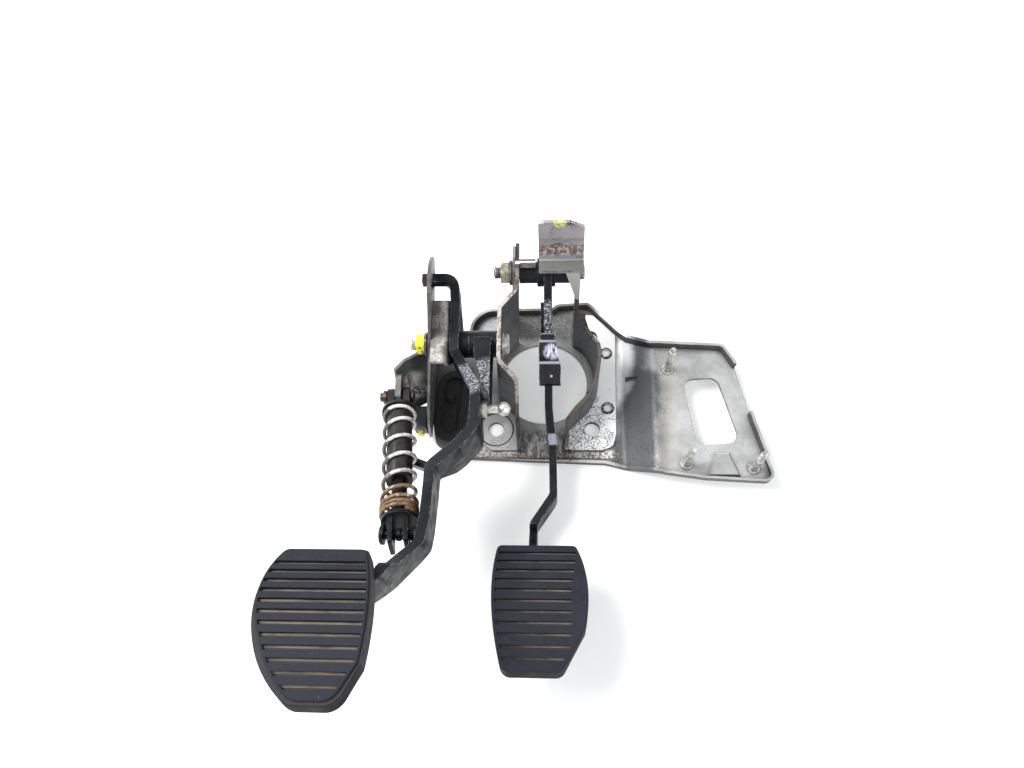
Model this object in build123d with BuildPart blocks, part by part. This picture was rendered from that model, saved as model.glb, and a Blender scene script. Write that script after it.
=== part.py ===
from build123d import *
import math
import os

os.makedirs("parts", exist_ok=True)

# Frame of the model: X towards the accelerator, Y up along the bulkhead, Z from the bulkhead to the driver.
# The origin is the centre of the servo bolt pattern on the face that bears on the bulkhead.

# Stock that the pieces are cut from
plate_t = 2.0            # bulkhead plate
cheek_t = 2.5            # centre bracket
side_t = 2.0             # clutch bracket
bar_t = 6.2              # clutch arm
brake_bar_t = 5.2        # brake arm
pad_plate_t = 3.0        # steel plate behind each rubber
fit = 0.08               # running clearance of a turning or sliding fit, on the radius
seat = 0.15              # clearance round a piece that sits still
reach = 100.0            # half length of a cutter that passes right through

# Servo interface
servo_pitch_x = 70.0
servo_pitch_y = 74.0
servo_hole_d = 11.0
servo_opening_d = 64.0
servo_seat_r = 13.0
servo_seat_h = 1.4

# Bulkhead plate
rim_h = 8.0              # upturned edge above the sheet
rim_t = 2.0
lip_h = 4.0              # lower edge above the sheet
raise_h = 14.0           # height of the accelerator field over the servo field
ramp_x = 58.0            # foot of the ramp
ramp_l = 22.0            # length of the ramp
plate_bend = 6.0
plate_bottom = -59.0     # lower edge at the servo field
plate_top = 59.5
plate_left = -84.0

# Accelerator studs
stud_d = 5.0
stud_l = 34.0
stud_collar_r = 4.6
stud_collar_h = 1.2

# Pivots, as Y and Z
brake_pivot = (37.0, 102.0)
clutch_pivot = (1.0, 70.0)
bolt_d = 8.0
nut_flats = 13.0
nut_h = 5.6
washer_t = 1.5
washer_r = 8.0
bolt_end = 4.6           # thread past the nut

# Places across the car, as X
left_cheek_x = -20.6     # foot of the left cheek in line with the brake pivot
bulge_x = -31.8          # foot of the left cheek in line with the clutch pivot
right_cheek_x = 22.8     # middle of the right cheek's sheet at the brake pivot
right_bow_r = 38.8       # bow of the right cheek round the servo opening
brake_arm_x = 4.0        # middle of the brake arm at its hub
clutch_arm_x = -57.7     # middle of the clutch arm at its hub
side_foot_x = -83.0      # foot of the clutch side plate
side_lean = 6.3          # degrees that the side plate leans towards the servo
cheek_rise = Vector(0.047, -0.03, 1)  # way that the left cheek and its stay rise from the plate

# Hubs
tube_r = 7.0             # spacer tubes that the pedals turn on
bush_t = 0.8
hub_t = 1.3
brake_hub_w = 11.6
clutch_hub_w = 11.8

# Pads
brake_crown_r = 120.0    # radius of the convex face
clutch_crown_r = 100.0
rubber_t = 9.5
pocket_depth = 4.2
lip_w = 2.6              # rubber round the steel plate
border_drop = 1.4        # from the clutch pad's tread to its border
groove_w = 2.3
groove_depth = 1.8
brake_grooves = 11
clutch_grooves = 13

# Assist spring unit, its two pins as X, Y, Z
anchor_pin = (-98.0, -29.5, 50.0)
ball_place = (-81.8, -132.0, 95.0)
pin_r = 3.0
spring_od = 24.0
spring_wire = 2.6
spring_turns = 6.5
sleeve_r = 8.2
sleeve_end = 74.0        # along the unit from the anchor pin
flange_r = 11.8
flange_t = 2.2
flange_start = 13.5
rod_r = 4.9
clevis_leg_t = 4.2
clevis_gap = 6.4
fork_leg_t = 2.6
fork_gap = 6.4
fork_slack = 1.9         # play at the ball, because this pivot is left open
fork_overrun = 9.0
fork_root = 8.6          # from the spring seat to the ball
spring_seat_t = 2.0


def across(x, y, z):
    """Plane square to X, with its own x along Y and its own y along Z."""
    return Plane(origin=(x, y, z), x_dir=(0, 1, 0), z_dir=(1, 0, 0))


def bent_strip(points, radius, width):
    """Strip of even width that follows a bent line."""
    with BuildSketch() as strip:
        with BuildLine():
            FilletPolyline(*points, radius=radius)
        trace(line_width=width)
    return strip.sketch


def rounded(points, radius):
    """Closed outline with every corner rounded alike."""
    with BuildSketch() as shape:
        with BuildLine():
            FilletPolyline(*points, radius=radius, close=True)
        make_face()
    return shape.sketch


def ring(plane, outer, inner, length):
    """Plain bush, tube or washer that starts on the plane."""
    with BuildPart() as turned:
        with BuildSketch(plane):
            Circle(outer)
            Circle(inner, mode=Mode.SUBTRACT)
        extrude(amount=length)
    return turned.part


def hex_nut(plane, bore):
    """Hexagon nut with its corners turned off at both faces."""
    with BuildPart() as nut:
        with BuildSketch(plane):
            RegularPolygon(radius=nut_flats / 2, side_count=6, major_radius=False)
        extrude(amount=nut_h)
        with BuildSketch(plane):
            Circle(nut_flats / 2 / math.cos(math.pi / 6) - 0.3)
        extrude(amount=nut_h, mode=Mode.INTERSECT)
        with BuildSketch(plane):
            Circle(bore)
        extrude(amount=nut_h, mode=Mode.SUBTRACT)
    return nut.part


def save(piece, name):
    """Label a finished piece and write its file."""
    piece.label = name
    export_step(piece, f"parts/{name}.step")


# Bulkhead plate: its outline from above, and the step that lifts the accelerator field
plate_outline = [
    (-78.0, 26.0), (-57.0, 35.0), (-57.0, plate_top), (6.0, plate_top), (10.0, plate_top + 3.4),
    (34.0, plate_top + 5.0), (63.0, 34.0), (78.0, 25.0), (130.0, 22.0), (138.0, 8.0), (148.0, -38.0),
    (159.0, -80.0), (112.0, -77.5), (84.0, -73.5), (44.0, plate_bottom - 4.0), (-62.0, plate_bottom),
    (-79.0, -48.0), (plate_left, -22.0), (plate_left, 14.0),
]
plate_corner_r = 6.0
plate_round_r = 19.0     # round corner beside the clutch
window_outline = [(100.5, -3.0), (125.0, -1.5), (137.5, -50.5), (107.5, -53.0)]
window_corner_r = 7.0
stud_places = [(90.0, 5.4), (99.2, -66.0), (144.6, -69.0)]
hollow_place = (-68.5, -18.0)
hollow_l = 52.0
hollow_w = 20.0
ramp_gusset = (72.0, 2.0)
foot_emboss = (124.0, -67.0)
foot_emboss_w = 24.0
foot_emboss_h = 2.5


def plate_shape(inset):
    """The plate from above, with its one big round corner."""
    with BuildSketch() as shape:
        with BuildLine():
            Polyline(*plate_outline, close=True)
        make_face()
        corners = shape.vertices().sort_by_distance((plate_outline[2][0], plate_top))
        fillet(corners[1:], plate_corner_r)
        fillet(shape.vertices().sort_by_distance((plate_outline[2][0], plate_top))[0], plate_round_r)
        offset(amount=-inset)
    return shape.sketch


def stepped_sheet(low, high):
    """Block between two heights over the sheet's underside, following the step."""
    middle = (low + high) / 2
    line = [(-reach, middle), (ramp_x, middle), (ramp_x + ramp_l, raise_h + middle),
            (2 * reach, raise_h + middle)]
    with BuildPart() as block:
        with BuildSketch(Plane.XZ.offset(-reach)):
            add(bent_strip(line, plate_bend + high, high - low))
        extrude(amount=2 * reach)
    return block.part


with BuildPart() as rim:
    add(stepped_sheet(0, plate_t + rim_h))
    with BuildSketch():
        add(plate_shape(0))
        add(plate_shape(rim_t), mode=Mode.SUBTRACT)
    extrude(amount=reach, mode=Mode.INTERSECT)
    with BuildSketch():
        with BuildLine():
            Polyline((-66, 33), (-66, 90), (136, 90), (146, 6), (60, 6), (20, 50), (-36, 50), (-50, 33),
                     close=True)
        make_face()
        with BuildLine():
            Polyline((140, -30), (170, -30), (170, -62), (150, -62), (143, -52), close=True)
        make_face()
    extrude(amount=reach, mode=Mode.INTERSECT)

with BuildPart() as lip:
    add(stepped_sheet(0, plate_t + lip_h))
    with BuildSketch():
        add(plate_shape(0))
        add(plate_shape(rim_t), mode=Mode.SUBTRACT)
    extrude(amount=reach, mode=Mode.INTERSECT)
    with BuildSketch():
        with Locations((50, -75)):
            Rectangle(220, 46)
    extrude(amount=reach, mode=Mode.INTERSECT)

with BuildPart() as bulkhead_plate:
    add(stepped_sheet(0, plate_t))
    with BuildSketch():
        add(plate_shape(0))
    extrude(amount=reach, mode=Mode.INTERSECT)
    add(rim.part)
    add(lip.part)
    with BuildSketch(Plane.XY.offset(plate_t)):
        with Locations((-servo_pitch_x / 2, -servo_pitch_y / 2)):
            Circle(servo_seat_r)
    extrude(amount=servo_seat_h, taper=35)
    with BuildSketch(Plane.XY.offset(raise_h + plate_t)):
        with Locations(foot_emboss):
            Trapezoid(foot_emboss_w, 18, 70)
    extrude(amount=foot_emboss_h, taper=35)
    with BuildSketch(Plane.XY.offset(plate_t)):
        with Locations(ramp_gusset):
            Rectangle(24, 5)
    extrude(amount=9, taper=18)
    with BuildSketch():
        Circle(servo_opening_d / 2)
        with GridLocations(servo_pitch_x, servo_pitch_y, 2, 2):
            Circle(servo_hole_d / 2)
        with Locations(hollow_place):
            SlotOverall(hollow_l, hollow_w, rotation=86)
        add(rounded(window_outline, window_corner_r))
        with Locations(*stud_places):
            Circle(stud_d / 2 + seat)
    extrude(amount=reach, mode=Mode.SUBTRACT)
save(bulkhead_plate.part, "bulkhead_plate")

# Studs for the accelerator pedal, pressed in from behind
with BuildPart() as accelerator_studs:
    with BuildSketch(Plane.XY.offset(raise_h)):
        with Locations(*stud_places):
            Circle(stud_d / 2)
    extrude(amount=plate_t + stud_l)
    with BuildSketch(Plane.XY.offset(raise_h + plate_t)):
        with Locations(*stud_places):
            Circle(stud_collar_r)
    extrude(amount=stud_collar_h)
    tips = accelerator_studs.edges().filter_by(GeomType.CIRCLE).group_by(Axis.Z)[-1]
    chamfer(tips, 0.7)
save(accelerator_studs.part, "accelerator_studs")

# Centre bracket: two cheeks that bow out round the servo opening, each cut to its own free edge
cheek_top = 118.0
left_cheek_profile = [
    (-54.0, plate_t), (-54.0, 6.0), (-46.0, 9.0), (-37.5, 20.0), (-33.5, 38.0), (-33.5, 58.0),
    (-27.5, 80.0), (-19.0, 91.0), (-2.0, 97.0), (27.0, 97.0), (28.5, 112.0), (31.0, cheek_top),
    (50.0, cheek_top), (50.0, 96.0), (36.0, 72.0), (34.0, plate_t),
]
right_cheek_profile = [
    (-54.0, plate_t), (-54.0, 6.5), (-46.0, 10.0), (-41.0, 21.0), (-37.0, 30.0), (-31.0, 36.0), (-22.0, 38.0),
    (-14.0, 44.0), (-2.0, 56.0), (8.0, 56.0), (17.0, 46.0), (24.0, 46.0), (27.0, 56.0), (26.8, cheek_top),
    (50.0, cheek_top), (50.0, 96.0), (36.0, 72.0), (34.0, plate_t),
]
cheek_corner_r = 2.0
bend_r = 3.2
left_cheek_line = [(-18.0, -54.0), (-20.2, -26.0), (bulge_x, -17.0), (bulge_x, 17.5), (left_cheek_x, 31.5),
                   (left_cheek_x, 56.0)]
left_flange_outline = [(-18.2, -53.0), (-38.0, -53.0), (-46.0, -47.0), (-48.0, -21.0), (bulge_x, -17.0),
                       (-20.2, -26.0)]
bow_low = (24.9, -29.7)
bow_high = (28.8, 26.0)
head_foot = (right_cheek_x, 30.5)
right_flange_outline = [
    (16.4, -53.0), (42.0, -53.0), (50.0, -50.0), (52.5, -41.0), (54.2, 38.5), (37.5, 56.0),
    (right_cheek_x, 57.0), head_foot, bow_high, bow_low, (16.8, -38.0),
]
clinch_places = [(46.7, 23.5), (46.8, -20.7)]
fold_z = 111.5           # lower edge of the fold that carries the tab
fold_y = 36.0
gusset_y = 28.0


def pivot_hole(pivot, x, side):
    """Cutter for a pivot bolt, from a place across the car outwards."""
    with BuildPart() as cutter:
        with BuildSketch(across(x, *pivot)):
            Circle(bolt_d / 2 + seat)
        extrude(amount=side * reach)
    return cutter.part


def risen_x(foot, z):
    """Place across the car that the left cheek's sheet has reached at a height."""
    return foot + cheek_rise.X * (z - plate_t)


def wall(sheet, rise, profile):
    """Bent sheet that rises from the plate, cut to its free edge in side view."""
    with BuildPart() as cut:
        with BuildSketch(Plane.XY.offset(plate_t)):
            add(sheet)
        extrude(amount=2 * reach, dir=rise)
        with BuildSketch(Plane.YZ):
            add(rounded(profile, cheek_corner_r))
        extrude(amount=reach, both=True, mode=Mode.INTERSECT)
    return cut.part


with BuildPart() as bracket_left_cheek:
    add(wall(bent_strip(left_cheek_line, bend_r, cheek_t), cheek_rise, left_cheek_profile))
    with BuildSketch(Plane.XY.offset(fold_z)):
        fold_x = risen_x(left_cheek_x, fold_z)
        add(bent_strip([(fold_x, fold_y - 5), (fold_x, fold_y), (-3.6, fold_y)], bend_r, cheek_t))
    extrude(amount=cheek_top - fold_z)
    with BuildSketch(Plane.XY.offset(plate_t)):
        add(rounded(left_flange_outline, cheek_corner_r))
        with Locations((-servo_pitch_x / 2, -servo_pitch_y / 2)):
            Circle(servo_seat_r + seat, mode=Mode.SUBTRACT)
    extrude(amount=cheek_t)
    add(pivot_hole(brake_pivot, 0, -1), mode=Mode.SUBTRACT)
    add(pivot_hole(clutch_pivot, 0, -1), mode=Mode.SUBTRACT)
save(bracket_left_cheek.part, "bracket_left_cheek")

with BuildSketch() as right_sheet:
    with BuildLine():
        FilletPolyline((16.4, -54), (16.8, -38), bow_low, radius=bend_r)
        ThreePointArc(bow_low, (right_bow_r, 0), bow_high)
        FilletPolyline(bow_high, head_foot, (right_cheek_x, 54), radius=bend_r)
    trace(line_width=cheek_t)

with BuildPart() as bracket_right_cheek:
    add(wall(right_sheet.sketch, Vector(0, 0, 1), right_cheek_profile))
    with BuildSketch(Plane.XZ.offset(-gusset_y - cheek_t / 2)):
        with BuildLine():
            Polyline((15.3, cheek_top), (25.8, cheek_top), (25.8, 84), (22.2, 84), close=True)
        make_face()
    extrude(amount=cheek_t)
    with BuildSketch(Plane.XY.offset(plate_t)):
        add(rounded(right_flange_outline, bend_r))
        Circle(right_bow_r, mode=Mode.SUBTRACT)
    extrude(amount=cheek_t)
    with BuildSketch(Plane.XY.offset(plate_t + cheek_t)):
        with Locations(*clinch_places):
            Circle(3.9)
            Circle(2.6, mode=Mode.SUBTRACT)
    extrude(amount=0.9)
    with BuildSketch(Plane.XY.offset(plate_t)):
        with GridLocations(servo_pitch_x, servo_pitch_y, 2, 2):
            Circle(servo_hole_d / 2)
    extrude(amount=cheek_t, mode=Mode.SUBTRACT)
    add(pivot_hole(brake_pivot, 0, 1), mode=Mode.SUBTRACT)
save(bracket_right_cheek.part, "bracket_right_cheek")

# Tab over the brake pivot: a roof across the two cheeks that turns up towards the dash
tab_w = 28.0
tab_x = 12.5
tab_h = 30.0
tab_left = tab_x - tab_w / 2
tab_right = tab_x + tab_w / 2
with BuildPart() as dash_tab:
    with BuildSketch(across(tab_left, 0, 0)):
        with BuildLine():
            roof = Line((gusset_y - cheek_t / 2, cheek_top + cheek_t / 2), (36.0, cheek_top + cheek_t / 2))
            ThreePointArc(roof @ 1, (40.5, cheek_top + 5), (43.0, cheek_top + 16))
            Line((43.0, cheek_top + 16), (44.5, cheek_top + tab_h))
        trace(line_width=cheek_t)
    extrude(amount=tab_w)
    with BuildSketch(Plane.XZ.offset(-reach)):
        with BuildLine():
            Polyline((tab_left, cheek_top), (tab_left, cheek_top + tab_h - 1),
                     (tab_left + 7, cheek_top + tab_h + 1), (tab_right - 11, cheek_top + tab_h + 1),
                     (tab_right, cheek_top + tab_h - 5), (tab_right, cheek_top), close=True)
        make_face()
    extrude(amount=2 * reach, mode=Mode.INTERSECT)
save(dash_tab.part, "dash_tab")

# Stay: a thin ear from the plate's upper edge to the brake pivot, outside the left cheek
stay_t = 1.8
stay_foot = left_cheek_x - cheek_t / 2 - stay_t / 2
stay_profile = [
    (56.0, plate_t), (40.0, plate_t), (36.5, 70.0), (29.0, 92.0), (28.5, 104.0), (31.0, 113.0), (38.0, 120.0),
    (46.0, 120.0), (49.0, 108.0), (52.0, 60.0),
]
with BuildSketch() as stay_sheet:
    with Locations((stay_foot, 50)):
        Rectangle(stay_t, 60)
with BuildPart() as pivot_stay:
    add(wall(stay_sheet.sketch, cheek_rise, stay_profile))
    add(pivot_hole(brake_pivot, 0, -1), mode=Mode.SUBTRACT)
save(pivot_stay.part, "pivot_stay")

# Clutch side plate: a leaning sheet with an arc slot that limits the pedal's travel
clutch_travel = 33.0
peg_place = (38.0, 92.0)
peg_w = 6.2
slot_play = 0.6
lean = math.radians(side_lean)
side_plane = Plane(
    origin=(side_foot_x, 0, plate_t), x_dir=(0, 1, 0), z_dir=(math.cos(lean), 0, -math.sin(lean)))
peg_arm = math.hypot(peg_place[0] - clutch_pivot[0], peg_place[1] - clutch_pivot[1])
peg_angle = math.degrees(math.atan2(peg_place[1] - clutch_pivot[1], peg_place[0] - clutch_pivot[0]))
side_outline = [
    (-43.0, 0.0), (-45.0, 16.0), (-45.0, 36.0), (-38.0, 50.0), (-26.0, 60.0), (-12.0, 72.0), (0.0, 88.0),
    (9.0, 104.0), (13.0, 118.0), (22.0, 124.0), (36.0, 118.0), (46.0, 107.0), (51.0, 95.0), (47.0, 82.0),
    (34.0, 70.0), (30.0, 50.0), (27.0, 0.0),
]
with BuildSketch() as travel_slot:
    with BuildLine() as travel_arc:
        CenterArc((clutch_pivot[0], clutch_pivot[1] - plate_t), peg_arm, peg_angle - 1, clutch_travel + 2)
    trace(line_width=peg_w * math.sqrt(2) + 2 * slot_play)
    with Locations(travel_arc.line @ 0, travel_arc.line @ 1):
        Circle(peg_w / math.sqrt(2) + slot_play)
with BuildPart() as clutch_side_plate:
    with BuildSketch(side_plane.offset(-side_t / 2)):
        add(rounded(side_outline, 3.0))
        add(travel_slot.sketch, mode=Mode.SUBTRACT)
    extrude(amount=side_t)
    with BuildSketch():
        Rectangle(2 * reach, 2 * reach)
    extrude(amount=plate_t, mode=Mode.SUBTRACT)
    add(pivot_hole(clutch_pivot, 0, -1), mode=Mode.SUBTRACT)
save(clutch_side_plate.part, "clutch_side_plate")


def side_plate_x(z):
    """Middle of the leaning side plate at a height."""
    return side_foot_x + (z - plate_t) * math.tan(lean)


# Clutch channel: a web between the side plate and an ear beside the pedal
arm_left = clutch_arm_x - bar_t / 2
ear_face = arm_left - 0.4
web_z = clutch_pivot[1] + 13.0
with BuildPart() as clutch_channel:
    with BuildSketch(Plane.XZ.offset(-27)):
        with BuildLine():
            FilletPolyline((side_plate_x(web_z) - 3, web_z + side_t / 2),
                           (ear_face - side_t / 2, web_z + side_t / 2),
                           (ear_face - side_t / 2, clutch_pivot[1] - 12), radius=2.5)
        trace(line_width=side_t)
    extrude(amount=46)
    with BuildSketch(Plane.YZ.offset(-reach)):
        add(rounded([(-19, web_z + side_t), (-19, web_z - 3), (-9, 60), (0, 57), (11, 60), (27, web_z - 3),
                     (27, web_z + side_t)], 1.5))
    extrude(amount=reach, mode=Mode.INTERSECT)
    with BuildSketch(side_plane.offset(side_t / 2)):
        Rectangle(4 * reach, 4 * reach)
    extrude(amount=-reach, mode=Mode.SUBTRACT)
    add(pivot_hole(clutch_pivot, 0, -1), mode=Mode.SUBTRACT)
save(clutch_channel.part, "clutch_channel")

# Spring anchor: a flared skirt on the side plate, with a lug for the spring's upper pin
skirt_low = 20.0
skirt_rise = Vector(0, 21, 40)
lug_t = 4.0
with BuildPart() as spring_anchor:
    with BuildSketch(Plane.XY.offset(skirt_low)):
        add(bent_strip([(-72, -15), (-80, -18.5), (-95, -27), (-101, -34)], 3.0, side_t))
    extrude(amount=skirt_rise.length, dir=skirt_rise.normalized())
    with BuildSketch(across(anchor_pin[0] - lug_t / 2, 0, 0)):
        add(rounded([(-14, 60), (-32, 58), (-38, 50), (-32, 42), (-20, 40)], 3.0))
    extrude(amount=lug_t)
    with BuildSketch(side_plane.offset(-side_t / 2)):
        Rectangle(4 * reach, 4 * reach)
    extrude(amount=reach, mode=Mode.SUBTRACT)
    with BuildSketch(across(0, *anchor_pin[1:])):
        Circle(pin_r + seat / 3)
    extrude(amount=-2 * reach, mode=Mode.SUBTRACT)
save(spring_anchor.part, "spring_anchor")

# Rubber grommet in the hollow under the clutch arm
grommet_h = 5.0
with BuildPart() as clutch_grommet:
    with BuildSketch(Plane.XY.offset(seat)):
        with Locations(hollow_place):
            SlotOverall(hollow_l - 2 * seat, hollow_w - 2 * seat, rotation=86)
    extrude(amount=grommet_h - seat)
    with BuildSketch(Plane.XY.offset(plate_t)):
        with Locations(hollow_place):
            SlotOverall(hollow_l + 3, hollow_w + 3, rotation=86)
    extrude(amount=grommet_h - plate_t)
    with BuildSketch(Plane.XY.offset(plate_t)):
        with Locations(hollow_place):
            SlotOverall(hollow_l - 7, hollow_w - 7, rotation=86)
    extrude(amount=grommet_h, mode=Mode.SUBTRACT)
    with BuildSketch(Plane.XY.offset(plate_t)):
        with Locations((hollow_place[0] - 1, hollow_place[1] + 6)):
            Circle(4.0)
    extrude(amount=6, taper=12)
save(clutch_grommet.part, "clutch_grommet")

# Brake pivot: bolt, washer, nut and the tube that the cheeks are clamped on
cheek_at_brake = risen_x(left_cheek_x, brake_pivot[1])
cheek_at_clutch = risen_x(bulge_x, clutch_pivot[1])
brake_left = cheek_at_brake + cheek_t / 2 + cheek_rise.X * tube_r
brake_right = right_cheek_x - cheek_t / 2
brake_head_r = 4.7
head_h = 3.6
bolt_clear_r = bolt_d / 2 + seat
brake_washer_x = cheek_at_brake - cheek_t / 2 - stay_t - cheek_rise.X * washer_r - washer_t
brake_nut_x = brake_washer_x - nut_h
with BuildPart() as brake_pivot_bolt:
    with BuildSketch(across(brake_nut_x - bolt_end, *brake_pivot)):
        Circle(bolt_d / 2)
    extrude(amount=right_cheek_x + cheek_t / 2 - brake_nut_x + bolt_end)
    with BuildSketch(across(right_cheek_x + cheek_t / 2, *brake_pivot)):
        Circle(brake_head_r)
    extrude(amount=head_h)
    fillet(brake_pivot_bolt.edges().filter_by(GeomType.CIRCLE).sort_by(Axis.X)[-1], 1.0)
save(brake_pivot_bolt.part, "brake_pivot_bolt")
save(ring(across(brake_washer_x, *brake_pivot), washer_r, bolt_clear_r, washer_t), "brake_pivot_washer")
save(hex_nut(across(brake_nut_x, *brake_pivot), bolt_d / 2), "brake_pivot_nut")
save(ring(across(brake_left, *brake_pivot), tube_r, bolt_clear_r, brake_right - brake_left),
     "brake_spacer_tube")

# Clutch pivot
clutch_side_x = side_plate_x(clutch_pivot[1]) - side_t / 2 / math.cos(lean) - washer_r * math.tan(lean)
clutch_washer_x = clutch_side_x - washer_t
clutch_nut_x = clutch_washer_x - nut_h
clutch_head_h = 5.0
bulge_inner = cheek_at_clutch + cheek_t / 2 + cheek_rise.X * washer_r
sleeve_r_out = 9.1
bulge_outer = cheek_at_clutch - cheek_t / 2 - cheek_rise.X * tube_r
with BuildPart() as clutch_pivot_bolt:
    with BuildSketch(across(clutch_nut_x - bolt_end, *clutch_pivot)):
        Circle(bolt_d / 2)
    extrude(amount=bulge_inner - clutch_nut_x + bolt_end)
    with BuildSketch(across(bulge_inner, *clutch_pivot)):
        Circle(washer_r)
    extrude(amount=washer_t)
    with BuildSketch(across(bulge_inner + washer_t, *clutch_pivot)):
        RegularPolygon(radius=nut_flats / 2, side_count=6, major_radius=False)
    extrude(amount=clutch_head_h)
save(clutch_pivot_bolt.part, "clutch_pivot_bolt")
save(ring(across(clutch_washer_x, *clutch_pivot), washer_r, bolt_clear_r, washer_t), "clutch_pivot_washer")
save(hex_nut(across(clutch_nut_x, *clutch_pivot), bolt_d / 2), "clutch_pivot_nut")
save(ring(across(ear_face, *clutch_pivot), tube_r, bolt_clear_r, bulge_outer - ear_face),
     "clutch_spacer_tube")

# Hubs and bushes
bush_bore = tube_r + fit
bush_outer = bush_bore + bush_t
hub_outer = bush_outer + hub_t
brake_hub_x = brake_arm_x - brake_bar_t / 2 - 4.3
clutch_hub_x = arm_left + 0.3
save(ring(across(brake_hub_x, *brake_pivot), hub_outer, bush_outer, brake_hub_w), "brake_hub")
save(ring(across(brake_hub_x, *brake_pivot), bush_outer, bush_bore, brake_hub_w), "brake_bush")
save(ring(across(clutch_hub_x, *clutch_pivot), hub_outer, bush_outer, clutch_hub_w), "clutch_hub")
save(ring(across(clutch_hub_x, *clutch_pivot), bush_outer, bush_bore, clutch_hub_w), "clutch_bush")
sleeve_x = clutch_hub_x + clutch_hub_w
sleeve_l = cheek_at_clutch - cheek_t / 2 - cheek_rise.X * sleeve_r_out - 0.4 - sleeve_x
save(ring(across(sleeve_x, *clutch_pivot), sleeve_r_out, tube_r + fit, sleeve_l), "clutch_hub_sleeve")

# Pads: a convex slab of rubber over a steel plate, both cut from shells about one axis
brake_pad_lean = math.radians(16.9)
clutch_pad_lean = math.radians(18.8)
brake_pad_plane = Plane(origin=(-1.2, -164.3, 63.1), x_dir=(1, 0, 0),
                        z_dir=(0, math.sin(brake_pad_lean), math.cos(brake_pad_lean)))
clutch_pad_plane = Plane(origin=(-104.5, -186.4, 173.0), x_dir=(1, 0, 0),
                         z_dir=(0, math.sin(clutch_pad_lean), math.cos(clutch_pad_lean)))
steel_drop = rubber_t - pocket_depth + seat      # from the convex face down to the steel plate
half_pad = 40.0
pad_cut = 50.0

# Pads seen from their face: each side ends at its second point, by way of the first where it is an arc
brake_sides = [
    (None, (-27.2, 39.7)), (None, (22.3, 39.7)), ((29.2, 4.0), (26.8, -16.5)), (None, (13.2, -39.8)),
    (None, (-21.8, -39.8)), ((-28.9, -3.0), (-27.2, 39.7)),
]
clutch_sides = [
    (None, (-22.5, 42.2)), (None, (19.5, 42.2)), ((27.6, 8.0), (27.0, -18.0)), (None, (17.5, -34.9)),
    (None, (-4.5, -34.9)), ((-15.8, -24.2), (-24.0, -9.5)), ((-28.6, 12.0), (-22.5, 42.2)),
]
clutch_tread_sides = [
    (None, (-22.0, 41.6)), (None, (18.3, 41.6)), ((26.1, 8.0), (25.4, -18.0)), (None, (16.0, -33.4)),
    (None, (-3.0, -33.4)), ((-13.6, -22.4), (-21.6, -7.5)), ((-27.6, 12.0), (-22.0, 41.6)),
]


def pad_shape(sides, foot_r, inset):
    """Outline of a pad, with rounder corners at its foot than at its top."""
    with BuildSketch() as shape:
        with BuildLine():
            for (middle, end), start in zip(sides[1:], [side[1] for side in sides]):
                if middle:
                    ThreePointArc(start, middle, end)
                else:
                    Line(start, end)
        make_face()
        foot = shape.vertices().group_by(Axis.Y)[0]
        fillet(foot, foot_r)
        fillet(shape.vertices().group_by(Axis.Y)[-1], 3.5)
        offset(amount=-inset)
    return shape.sketch


def crown_plane(plane, crown_r):
    """Plane across the pad whose origin is the axis of the convex face."""
    return Plane(origin=plane.offset(-crown_r).origin, x_dir=plane.y_dir, z_dir=plane.x_dir)


def curved_slab(plane, crown_r, outline, drop, thickness):
    """Shell under the convex face, from a drop down through a thickness, cut to an outline."""
    with BuildPart() as slab:
        with BuildSketch(crown_plane(plane, crown_r)):
            Circle(crown_r - drop)
            Circle(crown_r - drop - thickness, mode=Mode.SUBTRACT)
        extrude(amount=half_pad, both=True)
        with BuildSketch(plane.offset(-pad_cut)):
            add(outline)
        extrude(amount=4 * pad_cut, mode=Mode.INTERSECT)
    return slab.part


def groove_cutter(plane, crown_r, tread, count, low, high):
    """Evenly spread cross grooves between two angles on the convex face, kept inside the tread."""
    with BuildPart() as cutter:
        with BuildSketch(crown_plane(plane, crown_r)):
            with PolarLocations(crown_r, count, 90 + low, high - low, endpoint=True):
                Rectangle(2 * groove_depth, groove_w)
        extrude(amount=half_pad, both=True)
        with BuildSketch(plane.offset(-pad_cut)):
            add(tread)
        extrude(amount=4 * pad_cut, mode=Mode.INTERSECT)
    return cutter.part


def soft_edge(piece, plane, radius):
    """Rounds the edges of the face that lies highest over a pad's plane."""
    face = piece.faces().filter_by(GeomType.CYLINDER).sort_by(Axis(plane.origin, plane.z_dir))[-1]
    return piece.fillet(radius, face.edges())


brake_outline = pad_shape(brake_sides, 6.5, 0)
brake_pocket = pad_shape(brake_sides, 6.5, lip_w)
brake_steel = pad_shape(brake_sides, 6.5, lip_w + seat)
with BuildSketch() as brake_tread:
    add(pad_shape(brake_sides, 6.5, 2.0))
    with BuildLine():
        Polyline((-40, 45), (24, 45), (19, 8), (19, -45), (-40, -45), close=True)
    make_face(mode=Mode.INTERSECT)
with BuildPart() as brake_pad:
    slab = curved_slab(brake_pad_plane, brake_crown_r, brake_outline, 0, rubber_t)
    add(soft_edge(slab, brake_pad_plane, 1.3))
    add(curved_slab(brake_pad_plane, brake_crown_r, brake_pocket, rubber_t - pocket_depth, reach / 4),
        mode=Mode.SUBTRACT)
    add(groove_cutter(brake_pad_plane, brake_crown_r, brake_tread.sketch, brake_grooves, -16.1, 16.1),
        mode=Mode.SUBTRACT)
save(brake_pad.part, "brake_pad")
save(curved_slab(brake_pad_plane, brake_crown_r, brake_steel, steel_drop, pad_plate_t), "brake_pad_plate")

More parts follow.
